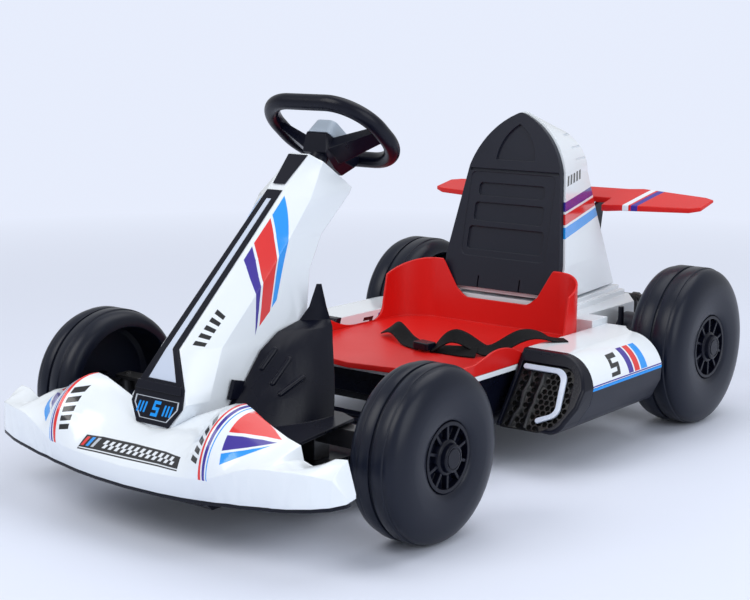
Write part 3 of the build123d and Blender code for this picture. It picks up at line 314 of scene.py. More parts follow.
# One inside a convex outline drawn on a plane, in metres.
def polygonMask(tree, place, plane, points):
    first, second = planeAxes[plane]
    area = sum(a[0] * b[1] - b[0] * a[1] for a, b in zip(points, points[1:] + points[:1]))
    outline = points if area > 0 else list(reversed(points))
    mask = None
    for a, b in zip(outline, outline[1:] + outline[:1]):
        edge = Vector((b[0] - a[0], b[1] - a[1])).normalized()
        direction = [0.0, 0.0, 0.0]
        direction[first] = edge.y
        direction[second] = -edge.x
        offset = a[0] * edge.y - a[1] * edge.x
        side = useGroup(tree, halfPlane, {"Direction": direction, "Offset": offset}, place)
        inside = side.outputs["Inside"]
        mask = inside if mask is None else mathNode(tree, "MULTIPLY", mask, inside)
    return mask


# Lay printed shapes over a colour; each is (ink, plane, both sides or one, outline in millimetres).
def paint(tree, colour, place, prints):
    both = mirroredPlace(tree, place)
    for ink, plane, sides, outline in prints:
        points = [(a / 1000, b / 1000) for a, b in outline]
        mask = polygonMask(tree, both if sides == "both" else place, plane, points)
        colour = mixColour(tree, mask, colour, inks[ink])
    return colour


coatRoughness = 0.08
paleDust = (0.55, 0.53, 0.50, 1)


# Moulded plastic with grain, a slow drift of colour, rubbed edges and dust.
def mouldedPlastic(name, finish, prints=()):
    material, tree, shader, place = newMaterial(name)
    grain = useGroup(tree, mouldGrain, {"Grain Scale": finish["grain"]}, place)
    wear = useGroup(tree, edgeWear, {"Amount": finish["wear"]}, place)
    dust = useGroup(tree, floorDust, {"Amount": finish["dust"]}, place)
    colour = mixColour(tree, grain.outputs["Drift"], finish["colour"], finish["drift"])
    colour = mixColour(tree, wear.outputs["Wear"], colour, finish["rubbed"])
    if prints:
        colour = paint(tree, colour, place, prints)
    colour = mixColour(tree, dust.outputs["Dust"], colour, finish["dustColour"])
    tree.links.new(colour, shader.inputs["Base Color"])
    low, high = finish["roughness"]
    rough = mathNode(tree, "MULTIPLY_ADD", grain.outputs["Drift"], high - low, low)
    rough = mathNode(tree, "MULTIPLY_ADD", dust.outputs["Dust"], dustLook["roughness"], rough, clamp=True)
    tree.links.new(rough, shader.inputs["Roughness"])
    bump = tree.nodes.new("ShaderNodeBump")
    bump.inputs["Strength"].default_value = finish["grainStrength"]
    bump.inputs["Distance"].default_value = grainLook["height"]
    tree.links.new(grain.outputs["Grain"], bump.inputs["Height"])
    tree.links.new(wear.outputs["Rounded"], bump.inputs["Normal"])
    tree.links.new(bump.outputs[0], shader.inputs["Normal"])
    shader.inputs["Specular IOR Level"].default_value = finish["specular"]
    shader.inputs["Coat Weight"].default_value = finish["coat"]
    shader.inputs["Coat Roughness"].default_value = coatRoughness
    shader.inputs["Metallic"].default_value = finish.get("metal", 0.0)
    return material


finishes = {
    "white": {
        "colour": (0.82, 0.87, 0.92, 1), "drift": (0.80, 0.85, 0.91, 1),
        "rubbed": (0.86, 0.90, 0.94, 1), "dustColour": paleDust,
        "roughness": (0.13, 0.22), "grain": 700, "grainStrength": 0.04,
        "wear": 0.3, "dust": 0.04, "specular": 0.5, "coat": 0.35,
    },
    "red": {
        "colour": (0.68, 0.010, 0.008, 1), "drift": (0.62, 0.008, 0.006, 1),
        "rubbed": (0.74, 0.04, 0.03, 1), "dustColour": (0.60, 0.20, 0.18, 1),
        "roughness": (0.30, 0.42), "grain": 1100, "grainStrength": 0.12,
        "wear": 0.4, "dust": 0.02, "specular": 0.35, "coat": 0.0,
    },
    "black": {
        "colour": (0.0026, 0.0034, 0.0098, 1), "drift": (0.0036, 0.0046, 0.0122, 1),
        "rubbed": (0.014, 0.015, 0.024, 1), "dustColour": (0.10, 0.10, 0.12, 1),
        "roughness": (0.22, 0.34), "grain": 1000, "grainStrength": 0.14,
        "wear": 0.6, "dust": 0.010, "specular": 0.21, "coat": 0.0,
    },
    "dark_grey": {
        "colour": (0.0080, 0.0100, 0.0205, 1), "drift": (0.0098, 0.0120, 0.0235, 1),
        "rubbed": (0.026, 0.029, 0.042, 1), "dustColour": (0.12, 0.12, 0.14, 1),
        "roughness": (0.30, 0.44), "grain": 900, "grainStrength": 0.16,
        "wear": 0.4, "dust": 0.015, "specular": 0.27, "coat": 0.0,
    },
    "grey_pad": {
        "colour": (0.41, 0.49, 0.59, 1), "drift": (0.45, 0.53, 0.63, 1),
        "rubbed": (0.56, 0.60, 0.66, 1), "dustColour": paleDust,
        "roughness": (0.26, 0.36), "grain": 900, "grainStrength": 0.1,
        "wear": 0.5, "dust": 0.04, "specular": 0.5, "coat": 0.1,
    },
    "lamp": {
        "colour": (0.60, 0.67, 0.80, 1), "drift": (0.54, 0.61, 0.76, 1),
        "rubbed": (0.80, 0.84, 0.90, 1), "dustColour": paleDust,
        "roughness": (0.10, 0.18), "grain": 260, "grainStrength": 0.25,
        "wear": 0.2, "dust": 0.02, "specular": 0.6, "coat": 0.6,
    },
    "steel": {
        "colour": (0.46, 0.46, 0.47, 1), "drift": (0.38, 0.38, 0.40, 1),
        "rubbed": (0.62, 0.62, 0.62, 1), "dustColour": (0.25, 0.24, 0.23, 1),
        "roughness": (0.24, 0.42), "grain": 1400, "grainStrength": 0.2,
        "wear": 0.5, "dust": 0.08, "specular": 0.5, "coat": 0.0, "metal": 1.0,
    },
    "axle_paint": {
        "colour": (0.010, 0.010, 0.012, 1), "drift": (0.014, 0.014, 0.016, 1),
        "rubbed": (0.12, 0.115, 0.11, 1), "dustColour": (0.16, 0.155, 0.15, 1),
        "roughness": (0.30, 0.46), "grain": 500, "grainStrength": 0.2,
        "wear": 0.5, "dust": 0.08, "specular": 0.5, "coat": 0.2,
    },
    "tyre": {
        "colour": (0.0042, 0.0066, 0.0160, 1), "drift": (0.0056, 0.0080, 0.0186, 1),
        "rubbed": (0.018, 0.021, 0.033, 1), "dustColour": (0.10, 0.10, 0.13, 1),
        "roughness": (0.27, 0.38), "grain": 1200, "grainStrength": 0.18,
        "wear": 0.25, "dust": 0.012, "specular": 0.26, "coat": 0.0,
    },
}
print("finishes listed")


# Printed shapes, in millimetres on the plane they are seen from

inks = {
    "navy": (0.040, 0.022, 0.30, 1),
    "scarlet": (0.72, 0.022, 0.022, 1),
    "sky": (0.010, 0.30, 0.86, 1),
    "ink": (0.008, 0.009, 0.012, 1),
    "paper": (0.78, 0.82, 0.88, 1),
    "silver": (0.50, 0.54, 0.60, 1),
}


# A row of slanted bars between two lines, each line given by its two ends.
def bars(ink, plane, sides, first, second, shares):
    shapes = []
    for start, end in shares:
        corners = []
        for line, share in ((first, start), (first, end), (second, end), (second, start)):
            (x0, y0), (x1, y1) = line
            corners.append((x0 + (x1 - x0) * share, y0 + (y1 - y0) * share))
        shapes.append((ink, plane, sides, corners))
    return shapes


# The number 5 drawn with straight bars; right and up are the steps of its 3 by 5 grid.
def numberFive(ink, plane, sides, corner, right, up):
    shapes = []
    for x0, x1, z0, z1 in ((0, 3, 4, 5), (0, 1, 2, 4), (0, 3, 2, 3), (2, 3, 0, 2), (0, 3, 0, 1)):
        outline = []
        for x, z in ((x0, z0), (x1, z0), (x1, z1), (x0, z1)):
            outline.append((corner[0] + right[0] * x + up[0] * z, corner[1] + right[1] * x + up[1] * z))
        shapes.append((ink, plane, sides, outline))
    return shapes


# Shares along a line where each of some even bars starts and ends.
def evenBars(count, filled):
    return [(index / count, (index + filled) / count) for index in range(count)]


# A thin line around an outline in the upright plane, drawn towards a middle point.
def outlineOf(ink, corners, share, middle):
    shapes = []
    inner = [tuple(m + (value - m) * share for value, m in zip(corner, middle)) for corner in corners]
    for index, corner in enumerate(corners):
        after = (index + 1) % len(corners)
        shapes.append((ink, "xz", "one", [corner, corners[after], inner[after], inner[index]]))
    return shapes


badge = {
    "outline": [(-41, 181), (41, 181), (41.5, 171), (26, 153), (-26, 153), (-41.5, 171)],
    "middle": (0, 167),
    "inset": 0.94,
}


# Bands, lines and number of a side pod, given the number's first corner and its steps across and up.
def podPrints(corner, right, up):
    return [
        ("navy", "yz", "both", [(197, 168), (213, 168), (206, 133.4), (191, 133.4)]),
        ("scarlet", "yz", "both", [(217, 168), (233, 168), (226, 133.4), (210, 133.4)]),
        ("sky", "yz", "both", [(237, 168), (254, 168), (250, 133.4), (230, 133.4)]),
        ("navy", "yz", "both", [(40, 132.6), (345, 132.6), (345, 130.6), (40, 130.6)]),
    ] + numberFive("ink", "yz", "both", corner, right, up)


prints = {
    "tower_shell": [
        ("navy", "yz", "both", [(-371, 352), (-353, 369), (-380.5, 262), (-385, 252)]),
        ("scarlet", "yz", "both", [(-349, 373), (-315, 405), (-353.5, 281), (-376, 263)]),
        ("sky", "yz", "both", [(-311, 409), (-285, 434), (-339, 295), (-350, 285)]),
    ] + bars("ink", "yz", "both", ((-478, 250), (-425, 296)), ((-466, 247), (-421, 286)), evenBars(5, 0.55)),
    "front_deck": [
        ("scarlet", "xz", "both", [(136.5, 109), (141, 109), (144.0, 196), (139.5, 196)]),
        ("navy", "xz", "both", [(143, 109), (147, 109), (150, 195), (146, 196)]),
        ("sky", "xz", "both", [(149, 109), (150.5, 109), (153.5, 193), (152, 194)]),
        ("scarlet", "xz", "both", [(158, 185), (160.5, 168), (212, 157.5)]),
        ("navy", "xz", "both", [(161, 165), (163.5, 148), (211, 155.5)]),
        ("sky", "xz", "both", [(164, 145), (166.5, 132), (209, 153.5)]),
        ("ink", "xz", "one", [(-87, 126.5), (93, 127.5), (97, 112), (-93, 109)]),
        ("paper", "xz", "one", [(-91, 111.7), (96.2, 114.6), (96.5, 113.5), (-91.4, 110.6)]),
        ("scarlet", "xz", "one", [(-84, 124.5), (-79, 124.6), (-84, 114), (-89, 113.9)]),
        ("sky", "xz", "one", [(-75, 124.7), (-70, 124.8), (-75, 114.2), (-80, 114.1)]),
        ("silver", "xz", "one", [(-66, 124.8), (-61, 124.9), (-66, 114.3), (-71, 114.2)]),
    ] + bars("paper", "xz", "one", ((-50, 124), (88, 125.6)), ((-53, 119.6), (86, 121)), evenBars(12, 0.5))
    + bars("paper", "xz", "one", ((-48, 119.6), (92, 121)), ((-51, 115.4), (90, 117.2)), evenBars(12, 0.5))
    + bars("ink", "xz", "both", ((118, 130), (124, 186)), ((132, 128), (137.5, 184)), evenBars(5, 0.62)),
    "pod_top_left": podPrints((139, 136), (9.0, 0.2), (3.2, 5.8)),
    "pod_top_right": podPrints((167, 136), (-9.0, 0.2), (3.2, 5.8)),
    "pod_lower": [
        ("sky", "yz", "both", [(40, 131), (345, 131), (345, 124.6), (40, 124.6)]),
    ],
    "backrest_cowl": [
        ("navy", "yz", "both", [(300, 372), (540, 391), (540, 375), (300, 356)]),
        ("scarlet", "yz", "both", [(300, 352), (540, 371), (540, 356), (300, 334)]),
        ("sky", "yz", "both", [(300, 330), (540, 352), (540, 337), (300, 311)]),
    ] + bars("ink", "yz", "both", ((358, 417), (446, 423)), ((352, 400), (440, 407)), evenBars(5, 0.6)),
    "wing": [
        ("paper", "xy", "both", [(132, 480), (144, 480), (158, 570), (146, 570)]),
        ("navy", "xy", "both", [(149, 480), (162, 480), (176, 570), (163, 570)]),
    ],
    "tower_trim": outlineOf("silver", badge["outline"], badge["inset"], badge["middle"])
    + numberFive("sky", "xz", "one", (-7.5, 157.5), (4.2, 0), (0.8, 4.0))
    + bars("sky", "xz", "one", ((-35, 160), (-16, 160)), ((-32, 174), (-13, 174)), evenBars(3, 0.5))
    + bars("sky", "xz", "one", ((14, 160), (33, 160)), ((17, 174), (36, 174)), evenBars(3, 0.5)),
}


webbing = {
    "yarns": 14, "picks": 110, "seamPlace": 0.38, "seamWidth": 0.012, "stitchLength": 4, "stitchGap": 0.4,
    "shade": (0.0015, 0.0015, 0.0020, 1), "light": (0.0075, 0.0075, 0.0095, 1),
    "thread": (0.020, 0.020, 0.023, 1),
    "roughness": (0.55, 0.75), "height": 0.0005, "strength": 0.6, "specular": 0.15,
}


# Woven strap: ribs across it and two stitched lines along its edges, in the strap's own UV map.
def wovenStrap(name):
    material, tree, shader = newMaterial(name)[:3]
    own = tree.nodes.new("ShaderNodeUVMap")
    own.uv_map = "strapMap"
    split = tree.nodes.new("ShaderNodeSeparateXYZ")
    tree.links.new(own.outputs[0], split.inputs[0])
    across = mathNode(tree, "MULTIPLY", split.outputs["Y"], webbing["yarns"])
    along = mathNode(tree, "MULTIPLY", split.outputs["X"], webbing["picks"])
    slanted = mathNode(tree, "ADD", along, across)
    warp = mathNode(tree, "SINE", mathNode(tree, "MULTIPLY", across, 2 * pi))
    weft = mathNode(tree, "SINE", mathNode(tree, "MULTIPLY", slanted, 2 * pi))
    height = mathNode(tree, "MULTIPLY_ADD", mathNode(tree, "MULTIPLY", warp, weft), 0.25, 0.5)
    middle = mathNode(tree, "ABSOLUTE", mathNode(tree, "SUBTRACT", split.outputs["Y"], 0.5))
    seam = mathNode(tree, "COMPARE", middle, webbing["seamPlace"], webbing["seamWidth"])
    pace = mathNode(tree, "FRACT", mathNode(tree, "MULTIPLY", along, 1 / webbing["stitchLength"]))
    thread = mathNode(tree, "MULTIPLY", seam, mathNode(tree, "GREATER_THAN", pace, webbing["stitchGap"]))
    yarn = mixColour(tree, height, webbing["shade"], webbing["light"])
    colour = mixColour(tree, thread, yarn, webbing["thread"])
    tree.links.new(colour, shader.inputs["Base Color"])
    low, high = webbing["roughness"]
    rough = mathNode(tree, "MULTIPLY_ADD", height, high - low, low)
    tree.links.new(rough, shader.inputs["Roughness"])
    bump = tree.nodes.new("ShaderNodeBump")
    bump.inputs["Strength"].default_value = webbing["strength"]
    bump.inputs["Distance"].default_value = webbing["height"]
    tree.links.new(mathNode(tree, "ADD", height, thread), bump.inputs["Height"])
    tree.links.new(bump.outputs[0], shader.inputs["Normal"])
    shader.inputs["Specular IOR Level"].default_value = webbing["specular"]
    return material


# The honeycomb face of the pods: its direction outwards, and painted shade colours for points deeper than
# some depths under its front
grille = {
    "outward": (0, -0.819, 0.573),
    "levels": [(0.0009, (0.0042, 0.0045, 0.0062, 1)), (0.0024, (0.0002, 0.0002, 0.0003, 1))],
    "levelSoftness": 0.0004,
    "ribColour": (0.020, 0.021, 0.026, 1),
    "specular": 0.30,
    "floorRoughness": 0.95,
    "floorDepth": 0.0036,
    "floorReach": 0.0002,
    "deeper": 0.0016,
    "smooth": 20,
}
outward = Vector(grille["outward"])
grilleFront = max(outward.dot(vertex.co) for vertex in nodes["pod_grille_left"].data.vertices)


# Honeycomb face whose ribs catch the light and whose cell floors get painted shade, told apart by their
# depth.
def cellsWithPaintedShade(name):
    ribs = {"colour": grille["ribColour"], "drift": grille["ribColour"], "specular": grille["specular"]}
    material = mouldedPlastic(name, dict(finishes["black"], **ribs))
    tree = material.node_tree
    shader = tree.nodes["Principled BSDF"]
    place = tree.nodes["Texture Coordinate"].outputs["Object"]
    base = shader.inputs["Base Color"].links[0].from_socket
    # Painted shade: each level deeper in the cells mixes in a darker colour.
    for depth, colour in grille["levels"]:
        shadeLevel = {"Direction": outward, "Offset": grilleFront - depth, "Softness": grille["levelSoftness"]}
        shadedFloor = useGroup(tree, halfPlane, shadeLevel, place)
        base = mixColour(tree, shadedFloor.outputs["Inside"], base, colour)
    tree.links.new(base, shader.inputs["Base Color"])
    rough = shader.inputs["Roughness"].links[0].from_socket
    dull = mathNode(tree, "MULTIPLY", shadedFloor.outputs["Inside"], grille["floorRoughness"])
    tree.links.new(mathNode(tree, "MAXIMUM", rough, dull), shader.inputs["Roughness"])
    return material


materials = {name: mouldedPlastic(name, finish) for name, finish in finishes.items()}
materials["webbing"] = wovenStrap("webbing")
# The grille material carries painted shade in its cells.
materials["grille"] = cellsWithPaintedShade("grille")
nodeSlot = {part["node"]: part["material_slot"] for part in frame["record"]["subparts"]}
nodeBody = {}
for body, members in frame["record"]["behaviour"]["bodies"].items():
    for member in members:
        nodeBody[member] = body


# The finish of a node, with its printed shapes if it has any.
def finishOf(name):
    plain = name.replace("_left", "").replace("_right", "")
    key = name if name in prints else plain
    slot = nodeSlot[name]
    if plain == "pod_grille":
        return materials["grille"]
    if key not in prints:
        return materials[slot]
    if key not in materials:
        materials[key] = mouldedPlastic(key, finishes[slot], prints[key])
    return materials[key]


def paintNode(name):
    data = nodes[name].data
    data.materials.clear()
    data.materials.append(finishOf(name))


for name in nodes:
    paintNode(name)
print("nodes painted")


floor = {"size": 16.0, "height": 0.0, "roughness": 0.55}


# Pale floor that turns into the backdrop's colour away from the kart.
def addFloor():
    bpy.ops.object.select_all(action="DESELECT")
    bpy.ops.mesh.primitive_plane_add(size=floor["size"], location=(0, 0, floor["height"]))
    paper = bpy.context.object
    paper.name = "paperFloor"
    material, tree, shader, place = newMaterial("paper")
    shader.inputs["Base Color"].default_value = studio["paper"]
    shader.inputs["Roughness"].default_value = floor["roughness"]
    away = tree.nodes.new("ShaderNodeVectorMath")
    away.operation = "LENGTH"
    tree.links.new(place, away.inputs[0])
    span = studio["fadeEnd"] - studio["fadeStart"]
    share = mathNode(tree, "SUBTRACT", away.outputs["Value"], studio["fadeStart"])
    share = mathNode(tree, "DIVIDE", share, span, clamp=True)
    glow = tree.nodes.new("ShaderNodeEmission")
    glow.inputs["Color"].default_value = studio["backdrop"]
    blend = tree.nodes.new("ShaderNodeMixShader")
    out = tree.nodes["Material Output"]
    tree.links.new(share, blend.inputs["Fac"])
    tree.links.new(shader.outputs[0], blend.inputs[1])
    tree.links.new(glow.outputs[0], blend.inputs[2])
    tree.links.new(blend.outputs[0], out.inputs["Surface"])
    paper.data.materials.append(material)


addFloor()
print("floor laid")


# Hang a finished piece on the body its node rides, and hide the node it stands for.
def settle(piece, node):
    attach(piece, nodeBody[node])
    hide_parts(node)


# A copy of a node's mesh, active and alone in the selection
def nodeCopy(name, ending):
    bpy.ops.object.select_all(action="DESELECT")
    piece = bpy.data.objects.new(name + ending, nodes[name].data.copy())
    bpy.context.scene.collection.objects.link(piece)
    bpy.context.view_layer.objects.active = piece
    piece.select_set(True)
    return piece


# Mouldings with their edges rounded over: edge width in millimetres by node

softEdges = {
    "front_deck": 1.6, "deck_lip": 1.0, "tower_shell": 1.6, "tower_trim": 0.8, "tower_cap": 0.8,
    "tower_light": 0.8, "horn_pad": 2.0, "steering_hub": 1.6, "seat_pan": 1.3, "seat_base": 1.0,
    "backrest_panel": 0.9, "backrest_cowl": 1.2, "body_shell": 1.5, "foot_guard": 0.7, "pod_top": 1.0,
    "pod_lower": 1.4, "pod_nose": 1.4, "pod_light": 1.2, "wing": 2.2, "wing_strut": 1.0, "belt_buckle": 2.2,
    "floor_tray": 0.8, "pedal": 1.2, "front_beam": 0.8, "knuckle": 0.8, "gearbox": 1.2, "battery": 2.0,
    "column_mount": 0.8, "rear_bar": 0.6, "front_hub": 0.6, "rear_hub": 0.6,
}
rounding = {
    "merge": 0.00002,
    "flat": 1.2,  # faces this close in degrees become one
    "corner": 32,  # edges sharper than this are rounded
    "segments": 2,
    "smooth": 34,
    "creaseless": {"tower_shell": 50, "front_deck": 40},  # curved shells, smoothed up to these angles
    "faceWeight": 80,
}


def softenedCopy(name, width):
    piece = nodeCopy(name, "_soft")
    if piece.data.has_custom_normals:
        bpy.ops.mesh.customdata_custom_splitnormals_clear()
    bpy.ops.object.mode_set(mode="EDIT")
    bpy.ops.mesh.select_all(action="SELECT")
    bpy.ops.mesh.remove_doubles(threshold=rounding["merge"])
    bpy.ops.mesh.dissolve_limited(angle_limit=radians(rounding["flat"]))
    bpy.ops.object.mode_set(mode="OBJECT")
    edges = piece.modifiers.new("edges", "BEVEL")
    edges.width = width / 1000
    edges.segments = rounding["segments"]
    edges.limit_method = "ANGLE"
    edges.angle_limit = radians(rounding["corner"])
    edges.use_clamp_overlap = True
    bpy.ops.object.modifier_apply(modifier="edges")
    smooth = rounding["creaseless"].get(name, rounding["smooth"])
    bpy.ops.object.shade_smooth_by_angle(angle=radians(smooth))
    if name not in rounding["creaseless"]:
        even = piece.modifiers.new("even", "WEIGHTED_NORMAL")
        even.weight = rounding["faceWeight"]
        even.keep_sharp = True
        bpy.ops.object.modifier_apply(modifier="even")
    settle(piece, name)


for name in list(nodes):
    plain = name.replace("_left", "").replace("_right", "")
    if plain in softEdges:
        softenedCopy(name, softEdges[plain])
print("mouldings rounded")


# The grille's cells, sunk deeper than the plain solid's
def deepCells(name):
    piece = nodeCopy(name, "_deep")
    bpy.ops.object.mode_set(mode="EDIT")
    bpy.ops.mesh.select_all(action="SELECT")
    bpy.ops.mesh.remove_doubles(threshold=rounding["merge"])
    bpy.ops.mesh.select_all(action="DESELECT")
    bpy.ops.object.mode_set(mode="OBJECT")
    for vertex in piece.data.vertices:
        depth = grilleFront - outward.dot(vertex.co)
        vertex.select = abs(depth - grille["floorDepth"]) < grille["floorReach"]
    bpy.ops.object.mode_set(mode="EDIT")
    bpy.ops.transform.translate(value=-outward * grille["deeper"])
    bpy.ops.object.mode_set(mode="OBJECT")
    bpy.ops.object.shade_smooth_by_angle(angle=radians(grille["smooth"]))
    settle(piece, name)


for side in ("left", "right"):
    deepCells("pod_grille_" + side)
print("grilles sunk")


# Tyres, each turned about its own axle from one profile

tread = {
    "bore": 0.0185,
    "dish": 0.022,
    # distance inwards, and radius past the hub's
    "bead": [(0.0078, 0.0008), (0.0060, 0.0016), (0.0042, 0.0045), (0.0020, 0.0120)],
    "bulgeAt": 0.42,
    "shoulder": 0.0215,
    "shoulderSteps": 14,
    "power": 2.2,
    # distance past the shoulder, and depth below the tread
    "step": [(0.0012, 0.0022), (0.0022, 0.0004), (0.0040, 0.0)],
    # distance from the tyre's middle, and depth below the tread
    "groove": [(0.0037, 0.0), (0.0025, 0.0008), (0.0021, 0.0036)],
    "wall": 0.025,
    "web": 0.028,
    # distance from the web, and depth below the cavity's wall
    "webCorner": [(0.006, 0.005), (0.0, 0.012)],
}


# Points of a side wall that stands flat at its start and turns over into the tread at its end.
def shoulderPoints(start, end):
    points = []
    for index in range(tread["shoulderSteps"] + 1):
        share = sin(index / tread["shoulderSteps"] * pi / 2)
        turn = 1 - (1 - share ** tread["power"]) ** (1 / tread["power"])
        points.append((start[0] + (end[0] - start[0]) * turn, start[1] + (end[1] - start[1]) * share))
    return points


# The tyre's outline from the hub outwards, over the tread and back inside, as distance inwards and radius.
def tyreProfile(radius, width, hubRadius):
    middle = width / 2
    cavity = radius - tread["wall"]
    bulge = hubRadius + (radius - hubRadius) * tread["bulgeAt"]
    near = tread["shoulder"]
    crown = (near, radius - tread["step"][0][1])
    points = [(tread["dish"], tread["bore"]), (tread["dish"], hubRadius + tread["bead"][0][1])]
    points += [(x, hubRadius + rise) for x, rise in tread["bead"]]
    points += shoulderPoints((0, bulge), crown)
    points += [(near + x, radius - drop) for x, drop in tread["step"]]
    points += [(middle - x, radius - drop) for x, drop in tread["groove"]]
    points += [(middle + x, radius - drop) for x, drop in reversed(tread["groove"])]
    points += [(width - near - x, radius - drop) for x, drop in reversed(tread["step"])]
    points += [(width - x, r) for x, r in reversed(shoulderPoints((0, cavity), crown))]
    points += [(tread["web"] + x, cavity - drop) for x, drop in tread["webCorner"]]
    points.append((tread["web"], tread["bore"]))
    return points


turning = {"start": 0.01, "steps": 144, "merge": 0.00001, "smooth": 40}


# Turn an outline about the X axis through its centre; way is 1 where the piece faces +X.
def lathe(name, profile, centre, way):
    bpy.ops.object.select_all(action="DESELECT")
    bpy.ops.mesh.primitive_plane_add(size=turning["start"])
    piece = bpy.context.object
    piece.name = name
    bpy.ops.object.mode_set(mode="EDIT")
    bpy.ops.mesh.select_all(action="SELECT")
    bpy.ops.mesh.merge(type="CENTER")
    bpy.ops.transform.translate(value=(-way * profile[0][0], 0, profile[0][1]))
    for before, after in zip(profile, profile[1:]):
        step = (-way * (after[0] - before[0]), 0, after[1] - before[1])
        bpy.ops.mesh.extrude_region_move(TRANSFORM_OT_translate={"value": step})
    bpy.ops.mesh.select_all(action="SELECT")
    bpy.ops.mesh.spin(steps=turning["steps"], angle=2 * pi, center=(0, 0, 0), axis=(1, 0, 0))
    bpy.ops.mesh.select_all(action="SELECT")
    bpy.ops.mesh.remove_doubles(threshold=turning["merge"])
    bpy.ops.mesh.select_all(action="SELECT")
    bpy.ops.transform.translate(value=centre)
    bpy.ops.mesh.normals_make_consistent(inside=False)
    bpy.ops.object.mode_set(mode="OBJECT")
    bpy.ops.object.shade_smooth_by_angle(angle=radians(turning["smooth"]))
    return piece


# The middle of a wheel piece's outer face.
def faceCentre(node, way):
    low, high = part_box(node)
    return (high.x if way > 0 else low.x, (low.y + high.y) / 2, (low.z + high.z) / 2)


def turnTyre(end, side, way):
    node = end + "_tyre_" + side
    low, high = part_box(node)
    hubLow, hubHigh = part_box(end + "_hub_" + side)
    profile = tyreProfile((high.z - low.z) / 2, high.x - low.x, (hubHigh.z - hubLow.z) / 2)
    piece = lathe(end + "Tyre_" + side, profile, faceCentre(node, way), way)
    piece.data.materials.append(finishOf(node))
    settle(piece, node)


for end in ("front", "rear"):
    turnTyre(end, "left", 1)
    turnTyre(end, "right", -1)
print("tyres turned")


# Stepped centre boss of each hub, with a recessed face and a bore for the spindle's end

boss = {
    "inwards": [0.0010, 0.0010, 0.0, 0.0, 0.0014, 0.0080, 0.0085, 0.0100, 0.0235, 0.0235, 0.0058, 0.0058],
    # radius at each of those distances from the cap's face
    "front": [0.0001, 0.0140, 0.0150, 0.0168, 0.0188, 0.0200, 0.0226, 0.0240, 0.0250, 0.0075, 0.0075, 0.0001],
    "rear": [0.0001, 0.0150, 0.0160, 0.0180, 0.0200, 0.0212, 0.0240, 0.0256, 0.0268, 0.0075, 0.0075, 0.0001],
}


def turnBoss(end, side, way):
    node = end + "_hub_" + side
    profile = list(zip(boss["inwards"], boss[end]))
    piece = lathe(end + "Boss_" + side, profile, faceCentre(node, way), way)
    piece.data.materials.append(finishOf(node))
    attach(piece, nodeBody[node])


for end in ("front", "rear"):
    turnBoss(end, "left", 1)
    turnBoss(end, "right", -1)
print("bosses turned")


# Lap belt straps: a flat strip bent along a curve, thickened and rounded

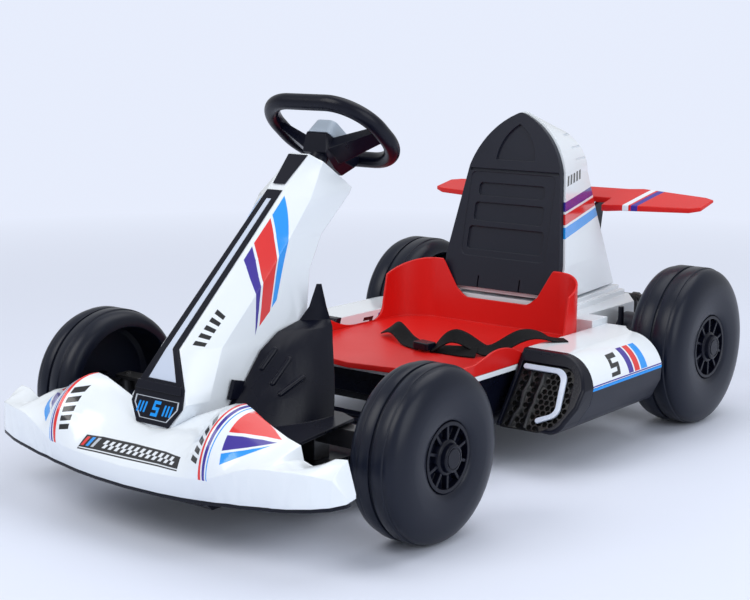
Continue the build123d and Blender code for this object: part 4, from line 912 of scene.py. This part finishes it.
straps = {
    "width": 0.0255,
    "thickness": 0.0020,
    "edge": 0.0007,
    "corner": 50,
    "guideSteps": 24,
    "grid": (90, 8),
    "runs": {
        # place, handle before, handle after (all in metres) and the strap's twist there in degrees
        "belt_right": [
            ((-0.098, 0.102, 0.1640), (-0.108, 0.107, 0.1620), (-0.088, 0.097, 0.1680), 24),
            ((-0.056, 0.078, 0.1750), (-0.072, 0.087, 0.1780), (-0.040, 0.069, 0.1720), 48),
            ((-0.014, 0.054, 0.1640), (-0.026, 0.061, 0.1650), (-0.004, 0.049, 0.1630), 30),
            ((0.026, 0.040, 0.1600), (0.014, 0.044, 0.1610), (0.032, 0.038, 0.1590), 8),
        ],
        "belt_left": [
            ((0.046, 0.040, 0.1620), (0.038, 0.038, 0.1610), (0.054, 0.042, 0.1650), 14),
            ((0.082, 0.050, 0.1850), (0.066, 0.045, 0.1850), (0.098, 0.056, 0.1850), 46),
            ((0.128, 0.070, 0.1640), (0.116, 0.063, 0.1660), (0.142, 0.084, 0.1620), 28),
            ((0.166, 0.114, 0.1860), (0.152, 0.097, 0.1800), (0.178, 0.128, 0.1910), 34),
            ((0.196, 0.148, 0.1800), (0.188, 0.139, 0.1860), (0.202, 0.156, 0.1764), 6),
            ((0.214, 0.170, 0.1764), (0.208, 0.163, 0.1764), (0.220, 0.177, 0.1764), 0),
        ],
    },
    # the tail of the left strap lies folded back under its loop
    "tail": [
        ((0.040, 0.044, 0.1600), (0.034, 0.042, 0.1600), (0.052, 0.048, 0.1600), 14),
        ((0.084, 0.046, 0.1625), (0.070, 0.048, 0.1615), (0.098, 0.044, 0.1635), 26),
        ((0.124, 0.050, 0.1640), (0.112, 0.046, 0.1640), (0.132, 0.053, 0.1640), 30),
    ],
}


# Bend a flat grid along a run's curve, then give it its thickness and round its edges.
def bendStrap(name, run):
    bpy.ops.object.select_all(action="DESELECT")
    bpy.ops.curve.primitive_bezier_curve_add(location=(0, 0, 0))
    guide = bpy.context.object
    spline = guide.data.splines[0]
    guide.data.twist_mode = "Z_UP"
    guide.data.resolution_u = straps["guideSteps"]
    spline.bezier_points.add(len(run) - 2)
    for point, (place, before, after, twist) in zip(spline.bezier_points, run):
        point.handle_left_type = "FREE"
        point.handle_right_type = "FREE"
        point.co = place
        point.handle_left = before
        point.handle_right = after
        point.tilt = radians(twist)
    length = spline.calc_length()
    bpy.ops.object.select_all(action="DESELECT")
    along, across = straps["grid"]
    bpy.ops.mesh.primitive_grid_add(x_subdivisions=along, y_subdivisions=across, size=1)
    strap = bpy.context.object
    strap.name = name
    strap.data.uv_layers[0].name = "strapMap"
    bpy.ops.object.mode_set(mode="EDIT")
    bpy.ops.mesh.select_all(action="SELECT")
    bpy.ops.transform.resize(value=(length, straps["width"], 1))
    bpy.ops.transform.translate(value=(length / 2, 0, 0))
    bpy.ops.object.mode_set(mode="OBJECT")
    bend = strap.modifiers.new("bend", "CURVE")
    bend.object = guide
    bend.deform_axis = "POS_X"
    body = strap.modifiers.new("body", "SOLIDIFY")
    body.thickness = straps["thickness"]
    body.offset = 0
    edge = strap.modifiers.new("edge", "BEVEL")
    edge.width = straps["edge"]
    edge.segments = 2
    edge.limit_method = "ANGLE"
    edge.angle_limit = radians(straps["corner"])
    for label in ("bend", "body", "edge"):
        bpy.ops.object.modifier_apply(modifier=label)
    bpy.ops.object.shade_smooth_by_angle(angle=radians(straps["corner"]))
    bpy.data.objects.remove(guide)
    strap.data.materials.append(materials["webbing"])
    return strap


for node, run in straps["runs"].items():
    settle(bendStrap(node + "_webbing", run), node)
strapTail = bendStrap("strapTail", straps["tail"])
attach(strapTail, nodeBody["belt_left"])
print("straps bent")
